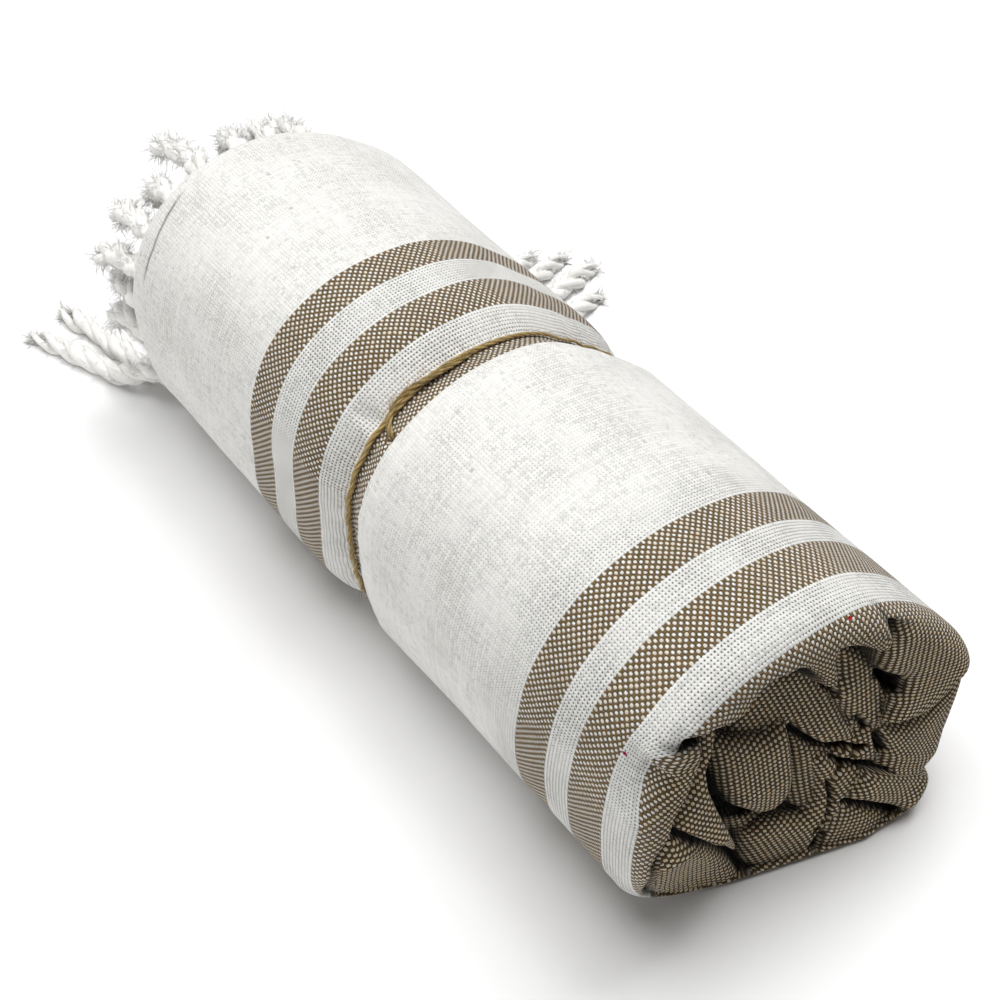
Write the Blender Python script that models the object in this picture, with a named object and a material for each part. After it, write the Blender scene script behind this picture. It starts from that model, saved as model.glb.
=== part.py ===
"""A flat-woven cotton bath towel, folded lengthwise into a thick band, rolled up and tied.

The towel is one solid of its wound form: the round side, the groove that the tie pulls
in, and the two ends, where the folded band shows edge on. The near end shows rounded
folds, laid down one by one from FRONT_FOLDS. The far end shows the turns of the band and
carries the fringe, whose tassels are fused into narrow strips that lie just off the
cloth. Lengths are in metres, and the tables are in millimetres.

While it is built, X runs along the roll from the near stripe edge (0) towards the near
end, Y across it and Z up from its axis. At the end everything is moved, so that the
origin lies at the middle of the underside of the bounding box.
"""

import math

import bmesh
import bpy
import numpy as np
from mathutils import Vector

MM = 0.001

# The roll
FAR_END_X = -213 * MM
FLOOR_Z = -43.5 * MM
AROUND = 72
SECTION = (  # angle about the axis in degrees from +Y, radius in mm
    (0, 52), (30, 44.5), (60, 43), (90, 46), (120, 50), (150, 50),
    (180, 47), (210, 49.5), (240, 48.5), (270, 44.5), (300, 50), (330, 55.5),
)
RIM = 7 * MM  # rounding between the side and the ends
SEAM_ANGLE, SEAM_HALF_WIDTH, SEAM_DEPTH = math.radians(-38), math.radians(7), 4 * MM
PINCH_ANGLE, PINCH_HALF_WIDTH = math.radians(142), math.radians(7)
PINCH_DEPTH, PINCH_REACH = 1.5 * MM, 16 * MM

# The groove that the tie pulls in: distance from the tie in mm, depth in mm
TIE_X = -110.3 * MM
GROOVE = (
    (-15, 0), (-11, 0.5), (-8, 1.2), (-4.5, 2.8), (-1.8, 4.3),
    (1.8, 4.3), (4, 2.9), (7.5, 1.3), (12, 0),
)

# The near end: a plane that leans out towards the lower right, and the folds on it
FACE_X, FACE_PER_Y, FACE_PER_Z = 6.8 * MM, 0.07, -0.15
RECEDE = -15 * MM  # how far the lower left corner of the end falls back
NOSE_HEIGHT, NOSE_WIDTH = 6.5 * MM, 6.5 * MM
TROUGH, WALL_SLOPE = 14 * MM, 2.0
SOFTENING = 1.8 * MM  # creases are softened over this distance
FRONT_FOLDS = (  # name, lift off the plane in mm, outline (y, z) in mm
    ("outer_top", 2, ((-70, 44), (-46, 36), (-30, 33), (-21, 31), (-17, 36), (-5, 37), (0, 31),
                      (5, 25), (6, 36), (12, 34), (20, 27), (22, 32), (19, 44), (26, 62), (-60, 65))),
    ("outer_left", 1.5, ((-70, 44), (-46, 36), (-29, 32), (-28, 20), (-26, 8), (-20, -13),
                         (-31, -3), (-38, 6), (-48, -6), (-70, -12))),
    ("foot_left", 0, ((-70, -12), (-48, -7), (-38, 5), (-30, -5), (-21, -15), (-16, -29),
                      (-20, -60), (-60, -60))),
    ("right_lobe", 1.5, ((20, 42), (23, 31), (21, 25), (21, 16), (26, 9), (24, 0), (33, -6),
                         (46, -4), (70, -2), (66, 40), (30, 62))),
    ("lower_right", 0, ((23, -5), (35, -9), (49, -7), (70, -6), (70, -60), (44, -62), (38, -44),
                        (28, -37), (15, -24), (15, -17), (24, -15))),
    ("bottom_band", -3, ((3, -37), (18, -31), (30, -42), (42, -52), (30, -70), (0, -70))),
    ("second_turn", -2.5, ((-18, -19), (-11, -18), (2, -22), (6, -20), (6, -13), (8, -6), (16, -2),
                           (19, 1), (25, -9), (27, -19), (18, -21), (17, -29), (8, -34), (4, -60),
                           (-22, -60), (-16, -31))),
    ("inner_shelf", -7.5, ((-17, -12), (-17, -21), (-12, -29), (-5, -28), (7, -33), (11, -31),
                           (13, -15), (22, -12), (12, -8), (4, -3), (3, -20), (-5, -21))),
    ("tucked_pleat", -3, ((11, 30), (24, 18), (27, 7), (29, -8), (26, -10), (19, 1), (14, 8),
                          (10, 15))),
    ("arch", -6.8, ((-22, 11), (-24, 30), (-10, 37), (6, 32), (11, 18), (15, 7), (2, 5),
                    (-13, 11))),
    ("arch_end", -6, ((1, 6), (9, 9), (14, 8), (21, -7), (11, -5), (4, 1))),
    ("pillow", -4.5, ((-20, 14), (-15, 15), (-1, 10), (0, 3), (-1, -15), (-8, -15), (-15, -9),
                      (-20, -2), (-22, 7))),
)

# The far end: the turns of the band, wound clockwise from the seam as seen from the near end
TURNS = 3
FIRST_TURN_POWER = 0.6  # the outer turn thickens quickly from its loose end
FAR_UNEVEN = 2.2 * MM  # how far the turns stand in and out

# Rings of the roll's mesh
RIM_STEPS = (0, 25, 50, 72, 90)  # degrees round the rim
FRONT_RINGS, FAR_RINGS = 15, 12
SIDE_STATIONS = (-193, -168, -145)  # mm, behind the groove
FRONT_STATIONS = (-85, -60, -38, -20)  # mm, between the groove and the near end

# The tie
TIE_RADIUS, TIE_LOBE, TIE_TWISTS, TIE_GAP = 1.15 * MM, 0.12, 24, 0.4 * MM
TIE_SIDES = 6

# The fringe
STRIP_WIDTH, STRIP_THICKNESS, STRIP_GAP = 2 * MM, 1.6 * MM, 0.45 * MM
TASSEL_STEPS = 7
TASSEL_RADII = ((0, 1.5), (0.12, 2.5), (0.5, 2.9), (0.85, 2.6), (1, 1.2))  # share of length, mm
AIR_REACH, AIR_DROP, AIR_SWAY = 21 * MM, 8 * MM, 1.5 * MM
FAR_STRIPS = (  # name, turn (0 is the outer one), first and last angle in degrees, tassels
    ("fringe_outer", 0, 199, 56, 9),
    ("fringe_inner", 1, 232, 88, 6),
)
CORNER_STRIP = ("fringe_corner", 0, 240, 206)  # as above, its tassels reach the floor
CORNER_TIPS = ((-268, -27), (-281, -45), (-277, -60))  # x, y in mm
BACK_STRIP = ("fringe_back", -200, -162)  # name, x of its ends in mm, at the floor
BACK_TIPS = ((-206, 96), (-199, 106), (-188, 111), (-174, 101))  # x, y in mm


def clear_scene():
    for thing in list(bpy.data.objects):
        bpy.data.objects.remove(thing, do_unlink=True)


def material(name, colour, roughness):
    made = bpy.data.materials.new(name)
    made.use_nodes = True
    shader = made.node_tree.nodes["Principled BSDF"]
    shader.inputs["Base Color"].default_value = (*colour, 1)
    shader.inputs["Roughness"].default_value = roughness
    shader.inputs["Metallic"].default_value = 0
    return made


def add_object(name, points, faces, finish):
    """A mesh object with outward faces."""
    mesh = bpy.data.meshes.new(name)
    mesh.from_pydata([tuple(p) for p in points], [], faces)
    work = bmesh.new()
    work.from_mesh(mesh)
    bmesh.ops.recalc_face_normals(work, faces=work.faces)
    work.to_mesh(mesh)
    work.free()
    mesh.shade_smooth()
    mesh.materials.append(finish)
    made = bpy.data.objects.new(name, mesh)
    bpy.context.scene.collection.objects.link(made)
    return made


def table(rows, at):
    """Linear value of a two-column table in millimetres."""
    first, second = np.array(rows, float).T
    return np.interp(at, first, second)


def bump(distance, half_width):
    """1 at distance 0, falling smoothly to 0 at half_width."""
    share = np.clip(np.abs(distance) / half_width, 0, 1)
    return (1 + np.cos(np.pi * share)) / 2


def angle_from(theta, centre):
    return (theta - centre + np.pi) % (2 * np.pi) - np.pi


def section_radius(theta):
    """The roll's radius, a smooth periodic curve through SECTION."""
    radii = np.array([row[1] for row in SECTION]) * MM
    waves = np.fft.rfft(radii) / len(radii)
    found = np.full(np.shape(theta), waves[0].real)
    for order in range(1, len(waves)):
        weight = 1 if order == len(radii) // 2 else 2
        found = found + weight * (waves[order] * np.exp(1j * order * theta)).real
    return found - SEAM_DEPTH * bump(angle_from(theta, SEAM_ANGLE), SEAM_HALF_WIDTH)


def groove_depth(x):
    return table(GROOVE, (x - TIE_X) / MM) * MM


def on_floor(y, z):
    return y, np.maximum(z, FLOOR_Z)


def side_point(theta, x):
    """A point on the side, pulled in by the tie and at the pinched corner."""
    pinch = PINCH_DEPTH * bump(angle_from(theta, PINCH_ANGLE), PINCH_HALF_WIDTH)
    pinch = pinch * bump(np.minimum(x, 0), PINCH_REACH)
    radius = section_radius(theta)
    y, z = on_floor(radius * np.cos(theta), radius * np.sin(theta))
    pull = (groove_depth(x) + pinch) / np.hypot(y, z)
    return y * (1 - pull), z * (1 - pull)


def depth_inside(outline, y, z):
    """Distance to the outline, positive inside and negative outside."""
    corners = np.array(outline, float) * MM
    following = np.roll(corners, -1, axis=0)
    nearest = np.full(y.shape, np.inf)
    inside = np.zeros(y.shape, bool)
    for (y0, z0), (y1, z1) in zip(corners, following):
        dy, dz = y1 - y0, z1 - z0
        along = np.clip(((y - y0) * dy + (z - z0) * dz) / (dy * dy + dz * dz), 0, 1)
        nearest = np.minimum(nearest, np.hypot(y - y0 - along * dy, z - z0 - along * dz))
        crosses = (z0 > z) != (z1 > z)
        inside ^= crosses & (y < y0 + dy * (z - z0) / (dz if dz else 1))
    return np.where(inside, nearest, -nearest)


def rounded(depth, height, width):
    """Profile of a rounded fold edge: -height at its edge, 0 from width inwards."""
    share = np.clip(depth / width, 0, 1)
    return -height * (1 - np.sqrt(1 - (1 - share) ** 2))


def front_height(y, z):
    """x of the near end: the highest of the folds, with troughs between them."""
    found = np.full(y.shape, -TROUGH)
    for _, lift, outline in FRONT_FOLDS:
        depth = depth_inside(outline, y, z)
        fold = lift * MM + rounded(depth, NOSE_HEIGHT, NOSE_WIDTH)
        found = np.maximum(found, fold + WALL_SLOPE * np.minimum(depth, 0))
    low = np.clip((-5 * MM - z) / (38.5 * MM), 0, 1)
    left = np.clip((20 * MM - y) / (54 * MM), 0, 1.2)
    return FACE_X + FACE_PER_Y * y + FACE_PER_Z * z + RECEDE * low * left + found


def crease_share(theta, turn):
    """Where the crease inside a turn lies at this angle, as a share of the radius."""
    wound = (SEAM_ANGLE - theta) % (2 * np.pi) / (2 * np.pi) + turn
    return 1 - np.where(wound < 1, wound ** FIRST_TURN_POWER, wound) / TURNS


def far_height(y, z):
    """x of the far end, whose turns are parted by a spiral crease."""
    theta = np.arctan2(z, y)
    radius = section_radius(theta)
    share = np.hypot(y, z) / radius
    depth = np.full(np.shape(y), np.inf)
    uneven = np.zeros(np.shape(y))
    for turn in range(TURNS):
        crease = crease_share(theta, turn)
        depth = np.minimum(depth, np.abs(share - crease) * radius)
        wave = np.sin(2 * theta + 1.9 * turn)
        uneven = np.where(share < crease, FAR_UNEVEN * wave, uneven)
    uneven = uneven * np.clip(depth / NOSE_WIDTH, 0, 1)
    return FAR_END_X - rounded(depth, NOSE_HEIGHT, NOSE_WIDTH) + uneven


def softened(height, y, z):
    """The height averaged over a small patch, so that creases are soft troughs."""
    total = 2 * height(y, z)
    for step in range(8):
        turn = step * math.pi / 4
        total = total + height(y + SOFTENING * math.cos(turn), z + SOFTENING * math.sin(turn))
    return total / 10


def end_rings(theta, height, sign, count):
    """Rings from the rim to the middle of one end, sign being +1 at the near end."""
    radius = section_radius(theta)
    edge_y, edge_z = on_floor(radius * np.cos(theta), radius * np.sin(theta))
    full = np.hypot(edge_y, edge_z)
    insets = [RIM * (1 - math.cos(math.radians(step))) for step in RIM_STEPS]
    shares = np.linspace(1, 0, count + 1)[1:-1]
    rings = []
    for inset in insets:
        rings.append(1 - inset / full)
    for share in shares:
        rings.append((1 - RIM / full) * share)
    made = []
    for scale in rings:
        y, z = edge_y * scale, edge_z * scale
        drop = -rounded(full * (1 - scale), RIM, RIM)
        made.append(np.stack([softened(height, y, z) - sign * drop, y, z], axis=-1))
    middle = np.zeros(1)
    return made, (float(softened(height, middle, middle)[0]), 0.0, 0.0)


def roll_mesh():
    theta = np.arange(AROUND) * 2 * np.pi / AROUND
    far, far_middle = end_rings(theta, far_height, -1, FAR_RINGS)
    front, front_middle = end_rings(theta, front_height, 1, FRONT_RINGS)
    stations = [x * MM for x in SIDE_STATIONS]
    stations += [TIE_X + x * MM for x, _ in GROOVE]
    stations += [x * MM for x in FRONT_STATIONS]
    side = []
    for x in stations:
        y, z = side_point(theta, np.full(AROUND, x))
        side.append(np.stack([np.full(AROUND, x), y, z], axis=-1))
    rings = far[::-1] + side + front
    points = [tuple(p) for ring in rings for p in ring]
    faces = []
    for k in range(len(rings) - 1):
        for j in range(AROUND):
            after = (j + 1) % AROUND
            low, high = k * AROUND, (k + 1) * AROUND
            faces.append((low + j, low + after, high + after, high + j))
    for centre, start in ((far_middle, 0), (front_middle, (len(rings) - 1) * AROUND)):
        points.append(centre)
        for j in range(AROUND):
            faces.append((start + j, start + (j + 1) % AROUND, len(points) - 1))
    return points, faces


def tie_mesh():
    """A ring of twine in the bottom of the groove, with the twist of its two plies."""
    around = AROUND
    theta = np.arange(around) * 2 * np.pi / around
    y, z = side_point(theta, np.full(around, TIE_X))
    reach = TIE_GAP + TIE_RADIUS * (1 + TIE_LOBE)
    points, faces = [], []
    for j in range(around):
        out = Vector((0, y[j], z[j])).normalized()
        centre = Vector((TIE_X, y[j], z[j])) + out * reach
        for k in range(TIE_SIDES):
            turn = 2 * math.pi * k / TIE_SIDES
            lobe = math.cos(2 * turn - TIE_TWISTS * theta[j])
            radius = float(TIE_RADIUS * (1 + TIE_LOBE * lobe))
            points.append(centre + radius * (math.cos(turn) * out + math.sin(turn) * Vector((1, 0, 0))))
    for j in range(around):
        after = (j + 1) % around
        for k in range(TIE_SIDES):
            up = (k + 1) % TIE_SIDES
            faces.append((j * TIE_SIDES + k, j * TIE_SIDES + up,
                          after * TIE_SIDES + up, after * TIE_SIDES + k))
    return points, faces


def tassel_rings(route, across):
    """Square rings along a tassel's route, none below the floor.

    across is the direction of their first side, or None for rings that lie level.
    """
    rings = []
    for k, point in enumerate(route):
        share = k / (len(route) - 1)
        before, after = route[max(k - 1, 0)], route[min(k + 1, len(route) - 1)]
        along = (after - before).normalized()
        level = Vector((-along.y, along.x, 0))
        side = (across - across.dot(along) * along if across else level).normalized()
        up = along.cross(side)
        half = float(table(TASSEL_RADII, share)) * MM
        corners = ((-1, -1), (1, -1), (1, 1), (-1, 1))
        ring = [point + half * (a * side + b * up) for a, b in corners]
        for corner in ring:
            corner.z = max(corner.z, FLOOR_Z)
        rings.append(ring)
    return rings


def fringe_mesh(spine, out, width, routes, level=False):
    """One backing strip along spine, with a tassel growing out of every second piece of it.

    out and width are the outward and the sideways direction at each point of the spine.
    routes holds each tassel's route, which starts at the strip, and level says that they
    lie on the floor.
    """
    points, faces = [], []
    for point, outward, sideways in zip(spine, out, width):
        inner = point
        outer = point + STRIP_THICKNESS * outward
        half = sideways * STRIP_WIDTH / 2
        points += [inner - half, inner + half, outer + half, outer - half]
    last = len(spine) - 1
    faces += [(0, 1, 2, 3), (last * 4 + 3, last * 4 + 2, last * 4 + 1, last * 4)]
    for k in range(last):
        low, high = 4 * k, 4 * (k + 1)
        for a in range(4):
            b = (a + 1) % 4
            if a == 2 and k % 2 == 1:
                continue
            faces.append((low + b, low + a, high + a, high + b))
    for number, route in enumerate(routes):
        k = 2 * number + 1
        base = [4 * k + 3, 4 * k + 2, 4 * (k + 1) + 2, 4 * (k + 1) + 3]
        across = points[4 * (k + 1) + 2] - points[4 * k + 2]
        rings = tassel_rings(route, None if level else across.normalized())
        previous = base
        for ring in rings:
            current = []
            for corner in ring:
                points.append(corner)
                current.append(len(points) - 1)
            current = matched(points, previous, current)
            for a in range(4):
                b = (a + 1) % 4
                faces.append((previous[a], previous[b], current[b], current[a]))
            previous = current
        faces.append(tuple(previous))
    return points, faces


def matched(points, first, second):
    """The order of the second ring that lies closest to the first."""
    best, cost = None, float("inf")
    for ring in (second, second[::-1]):
        for start in range(4):
            order = ring[start:] + ring[:start]
            total = sum((points[a] - points[b]).length for a, b in zip(first, order))
            if total < cost:
                best, cost = order, total
    return best


def curve_through(points, count):
    """Points evenly spaced along a smooth curve through the given ones."""
    fine = []
    padded = [points[0] * 2 - points[1]] + list(points) + [points[-1] * 2 - points[-2]]
    for k in range(1, len(padded) - 2):
        a, b, c, d = padded[k - 1:k + 3]
        for step in range(16):
            t = step / 16
            fine.append(0.5 * (2 * b + (c - a) * t + (2 * a - 5 * b + 4 * c - d) * t * t
                               + (3 * b - a - 3 * c + d) * t ** 3))
    fine.append(points[-1])
    reach = [0.0]
    for a, b in zip(fine, fine[1:]):
        reach.append(reach[-1] + (b - a).length)
    wanted = np.linspace(0, reach[-1], count)
    axes = [np.interp(wanted, reach, [p[axis] for p in fine]) for axis in range(3)]
    return [Vector(p) for p in zip(*axes)]


def far_spine(turn, first, last, tassels):
    """The points, outward and sideways directions of a strip on the crest of one turn."""
    spine, out, width = [], [], []
    for theta in np.radians(np.linspace(first, last, 2 * tassels + 2)):
        outer = crease_share(theta, turn - 1) if turn else 1.0
        radius = section_radius(theta) * (outer + crease_share(theta, turn)) / 2
        y, z = float(radius * math.cos(theta)), float(radius * math.sin(theta))
        across = np.linspace(-0.5, 0.5, 5) * STRIP_WIDTH
        patch_y, patch_z = y + across * math.cos(theta), z + across * math.sin(theta)
        edge = section_radius(np.full(across.shape, theta)) - np.hypot(patch_y, patch_z)
        face = softened(far_height, patch_y, patch_z) - rounded(edge, RIM, RIM)
        proud = float(face.min())
        spine.append(Vector((proud - STRIP_GAP, y, z)))
        out.append(Vector((-1, 0, 0)))
        width.append(Vector((0, math.cos(theta), math.sin(theta))))
    return spine, out, width


def roots_of(spine, out, tassels):
    """Where each tassel leaves the strip: the middle of every second piece."""
    odd = [2 * number + 1 for number in range(tassels)]
    return [(spine[k] + spine[k + 1]) / 2 + out[k] * STRIP_THICKNESS for k in odd]


def air_strip(turn, first, last, tassels):
    """A strip whose tassels stand out of the far end and droop a little."""
    spine, out, width = far_spine(turn, first, last, tassels)
    routes = []
    for number, root in enumerate(roots_of(spine, out, tassels)):
        sway = AIR_SWAY * math.sin(2.3 * number + turn)
        reach = AIR_REACH * (1 + 0.22 * math.sin(1.7 * number + 0.6) - 0.3 * turn)
        drop = AIR_DROP * (1 + 0.2 * math.cos(1.3 * number + turn))
        stops = [
            root + Vector((-1 * MM, 0, 0)),
            root + Vector((-reach * 0.5, sway * 0.3, -drop * 0.1)),
            root + Vector((-reach * 0.85, sway * 0.7, -drop * 0.5)),
            root + Vector((-reach, sway, -drop)),
        ]
        routes.append(curve_through(stops, TASSEL_STEPS))
    return fringe_mesh(spine, out, width, routes)


def floor_routes(roots, outward, tips):
    """Routes that leave the strip, come down to the floor and rest level on it."""
    routes = []
    for root, tip in zip(roots, tips):
        flat = Vector((tip[0] * MM - root.x, tip[1] * MM - root.y, 0))
        fall = root.z - FLOOR_Z
        stops = [
            root + outward * 1 * MM,
            root + outward * 6 * MM + Vector((0, 0, -fall * 0.15)),
            root + flat * 0.35 + outward * 4 * MM + Vector((0, 0, -fall * 0.8)),
            root + flat * 0.62 + outward * 3 * MM + Vector((0, 0, -fall)),
            root + flat + Vector((0, 0, -fall)),
        ]
        route = curve_through(stops, TASSEL_STEPS)
        for step, point in enumerate(route):
            half = float(table(TASSEL_RADII, step / (TASSEL_STEPS - 1))) * MM
            point.z = max(point.z, FLOOR_Z + half)
        routes.append(route)
    return routes


def corner_strip(turn, first, last):
    """A strip low on the far end, whose tassels lie out on the floor."""
    spine, out, width = far_spine(turn, first, last, len(CORNER_TIPS))
    roots = roots_of(spine, out, len(CORNER_TIPS))
    return fringe_mesh(spine, out, width, floor_routes(roots, out[0], CORNER_TIPS), level=True)


def back_strip(start, end):
    """A strip along the foot of the roll's back, whose tassels lie out on the floor."""
    theta = np.radians(np.linspace(-70, 0, 281))
    side_y, side_z = side_point(theta, np.full(theta.shape, start * MM))
    middle = FLOOR_Z + STRIP_WIDTH / 2 + 0.3 * MM
    level = np.abs(side_z - middle) < STRIP_WIDTH / 2 + 0.1 * MM
    y = float(side_y[level].max()) + STRIP_GAP
    count = 2 * len(BACK_TIPS) + 2
    spine = [Vector((x, y, middle)) for x in np.linspace(start, end, count) * MM]
    out = [Vector((0, 1, 0))] * count
    width = [Vector((0, 0, 1))] * count
    roots = roots_of(spine, out, len(BACK_TIPS))
    return fringe_mesh(spine, out, width, floor_routes(roots, out[0], BACK_TIPS), level=True)


def centre_on_underside(things):
    """Moves all meshes so that the origin is the middle of the box's underside."""
    every = np.concatenate([
        np.array([v.co[:] for v in thing.data.vertices]) for thing in things
    ])
    low, high = every.min(axis=0), every.max(axis=0)
    shift = Vector((-(low[0] + high[0]) / 2, -(low[1] + high[1]) / 2, -low[2]))
    for thing in things:
        for vertex in thing.data.vertices:
            vertex.co += shift


clear_scene()
cotton = material("cotton_cloth", (0.78, 0.77, 0.73), 0.9)
yarn = material("cotton_yarn", (0.85, 0.84, 0.79), 0.9)
twine = material("jute_twine", (0.30, 0.21, 0.08), 0.85)

made = [add_object("towel_roll", *roll_mesh(), cotton)]
made.append(add_object("tie", *tie_mesh(), twine))
for name, *layout in FAR_STRIPS:
    made.append(add_object(name, *air_strip(*layout), yarn))
made.append(add_object(CORNER_STRIP[0], *corner_strip(*CORNER_STRIP[1:]), yarn))
made.append(add_object(BACK_STRIP[0], *back_strip(*BACK_STRIP[1:]), yarn))
centre_on_underside(made)
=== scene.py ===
"""A flat-woven striped cotton bath towel, folded to a band, rolled up and tied, dressed for a render.

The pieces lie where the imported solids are. While they are made, X runs along the roll from
the near stripe edge (0) towards the near end, Y across it and Z up from its axis, and
AXIS moves them into the frame's own place. Lengths are in metres and the tables in millimetres.
"""

import math

import bpy
import numpy as np
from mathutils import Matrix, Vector


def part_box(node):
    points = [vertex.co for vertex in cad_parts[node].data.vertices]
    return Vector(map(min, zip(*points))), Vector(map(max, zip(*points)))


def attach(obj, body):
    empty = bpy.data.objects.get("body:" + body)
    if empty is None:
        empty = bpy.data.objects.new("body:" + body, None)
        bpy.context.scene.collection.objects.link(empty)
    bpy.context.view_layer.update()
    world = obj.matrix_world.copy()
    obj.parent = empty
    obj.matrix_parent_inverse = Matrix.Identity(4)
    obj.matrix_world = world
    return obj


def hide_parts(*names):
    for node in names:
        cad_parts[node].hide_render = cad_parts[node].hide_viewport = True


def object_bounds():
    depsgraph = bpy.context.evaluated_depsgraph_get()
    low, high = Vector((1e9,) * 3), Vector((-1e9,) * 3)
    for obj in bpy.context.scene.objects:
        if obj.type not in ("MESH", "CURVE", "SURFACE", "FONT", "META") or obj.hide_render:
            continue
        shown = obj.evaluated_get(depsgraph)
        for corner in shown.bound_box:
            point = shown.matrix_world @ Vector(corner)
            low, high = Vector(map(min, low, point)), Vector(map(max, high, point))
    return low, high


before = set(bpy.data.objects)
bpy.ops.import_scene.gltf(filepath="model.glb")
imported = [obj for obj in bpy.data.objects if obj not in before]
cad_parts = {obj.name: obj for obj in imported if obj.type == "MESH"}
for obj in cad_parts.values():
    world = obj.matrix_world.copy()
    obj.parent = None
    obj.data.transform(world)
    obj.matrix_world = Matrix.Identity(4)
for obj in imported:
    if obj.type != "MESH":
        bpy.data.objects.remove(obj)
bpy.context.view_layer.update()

# ----------------------------------------------------------------------
# The rolled cloth. One towel of undyed cotton with taupe stripes, folded lengthwise and
# wound up. Its near end shows the rounded folds of the band, its far end the hem.
# The cloth is made in two meshes that meet under the tie.
# ----------------------------------------------------------------------

MM = 0.001
FLOOR_Z = -43.5 * MM
FAR_END_X = -213 * MM
TIE_X = -110.3 * MM
SECTION = (  # angle about the axis in degrees from +Y, radius in mm
    (0, 52), (30, 44.5), (60, 43), (90, 46), (120, 50), (150, 50),
    (180, 47), (210, 49.5), (240, 48.5), (270, 44.5), (300, 50), (330, 55.5),
)
SEAM_ANGLE, SEAM_HALF_WIDTH, SEAM_DEPTH = math.radians(-38), math.radians(7), 4 * MM
PINCH_ANGLE, PINCH_EDGE, PINCH_TAIL = math.radians(146), math.radians(4), math.radians(20)
PINCH_DEPTH, PINCH_REACH = 4.2 * MM, 13 * MM
PINCH_DRAW, PINCH_DRAW_EDGE = 6.5 * MM, math.radians(9)
SLANT, SLANT_ANGLE, SLANT_SPREAD = 6 * MM, math.radians(235), math.radians(60)
SLANT_FROM, SLANT_RAMP = -112 * MM, 10 * MM
GROOVE = (  # distance from the tie in mm, depth in mm
    (-15, 0), (-11, 0.5), (-8, 1.2), (-4.5, 2.8), (-1.8, 4.3),
    (1.8, 4.3), (4, 2.9), (7.5, 1.3), (12, 0),
)
TIE_PIT_ANGLE, TIE_PIT_DEPTH = math.radians(133), 3.5 * MM  # where the tie's end is tucked in
TIE_PIT_PLACE, TIE_PIT_REACH = 4.4, 2.2  # from the tie, and its half width, in mm
PIT_CREASE, PIT_CREASE_ANGLE = 1.2 * MM, 5  # depth and half width in degrees of the fold beside it
PIT_CREASE_PLACE, PIT_CREASE_REACH = -4 * MM, 7 * MM
MM_A_DEGREE = 0.85  # round the roll, where it is
SLOW_WAVES, FINE_WAVES, PUCKERS, PUCKER_REACH = 0.28 * MM, 0.16 * MM, 0.22 * MM, 9 * MM
COLUMNS = 500  # mesh columns round the roll
GROOVE_STEP, GROOVE_END = 0.7 * MM, 16 * MM  # rings are closer up to here from the tie
SIDE_STEP, SIDE_END = 2.2 * MM, 20 * MM  # and evenly spaced up to here before an end
SHOULDER_RINGS, RIM_RINGS, END_RINGS = 12, 19, 85  # before an end's edge, round it and inside it
OVERLAP, OVERLAP_DEPTH = 1.3 * MM, 0.5 * MM  # of the two halves, under the tie


def table(rows, at):
    """The value of a two-column table there, even between its rows."""
    first, second = np.array(rows, float).T
    return np.interp(at, first, second)


def bump(distance, half_width):
    """1 at distance 0, falling smoothly to 0 at half_width."""
    share = np.clip(np.abs(distance) / half_width, 0, 1)
    return (1 + np.cos(np.pi * share)) / 2


def angle_from(theta, centre):
    return (theta - centre + np.pi) % (2 * np.pi) - np.pi


def plain_radius(theta):
    """The roll's radius, a smooth periodic curve through SECTION."""
    radii = np.array([row[1] for row in SECTION]) * MM
    waves = np.fft.rfft(radii) / len(radii)
    found = np.full(np.shape(theta), waves[0].real)
    for order in range(1, len(waves)):
        weight = 1 if order == len(radii) // 2 else 2
        found = found + weight * (waves[order] * np.exp(1j * order * theta)).real
    return found


def section_radius(theta):
    """The radius with the loose end of the band, a rounded step that looks up the roll."""
    off = angle_from(theta, SEAM_ANGLE)
    ramp = SEAM_DEPTH * bump(off, SEAM_HALF_WIDTH)
    nose = np.clip(-off / (SEAM_HALF_WIDTH * 0.45), 0, 1)
    step = SEAM_DEPTH * (1 - np.sqrt(1 - (1 - nose) ** 2))
    return plain_radius(theta) - np.where(off > 0, ramp, step)


def on_floor(y, z):
    return y, np.maximum(z, FLOOR_Z)


roll_low, roll_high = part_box("towel_roll")
tie_low, tie_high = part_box("tie")
all_round = np.radians(np.arange(0, 360, 0.25))
widest = float((plain_radius(all_round) * np.cos(all_round)).max())
AXIS = Vector((
    (tie_low[0] + tie_high[0]) / 2 - TIE_X,
    roll_high[1] - widest,
    roll_low[2] - FLOOR_Z,
))


# The near end: a plane that leans out towards the lower right, and the folds on it. The
# folds lie like shingles. Each rises towards the lip that it ends in and is tucked under
# the next at its other side.
FACE_X, FACE_PER_Y, FACE_PER_Z = 6.8 * MM, 0.07, -0.15
LIP_WAY = (0.47, -0.88)  # the way in (y, z) that the lips look
LIP_FROM, LIP_RAMP = -0.45, 0.7  # how far an edge must look that way to be a lip
LIP_HEIGHT, LIP_WIDTH, LIP_SLOPE = 2.9 * MM, 2.9 * MM, 6.0
TUCK_HEIGHT, TUCK_WIDTH, TUCK_SLOPE = 4.0 * MM, 6.5 * MM, 1.2
DEEPEST = 20 * MM
RISE_REACH, INNER_CORNERS = 15 * MM, 45  # a fold's rise is told from its corners inside 45 mm
GRID_HALF, GRID_STEP, SOFTENING_ROUNDS = 66 * MM, 0.3 * MM, 2
# for the painted shade of the ends: how far and how many ways round the rise about a place is looked at, and
# the steepest rise counted
HEMMED_REACHES, HEMMED_WAYS, STEEPEST = (4, 8, 15, 26), 12, 1.5  # grid steps, ways round, rise
FRONT_RIM = (  # angle in degrees, radius of the edge in mm
    (0, 7), (25, 6), (60, 6), (90, 7), (130, 6), (150, 5), (185, 6), (215, 6), (235, 5), (265, 4),
    (300, 4), (318, 5), (335, 9), (350, 9), (360, 7),
)
RIM_CLEAR, RIM_RAMP, RIM_DIP = 2.5 * MM, 3 * MM, 1.2 * MM  # crevices end this far inside the edge
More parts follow.
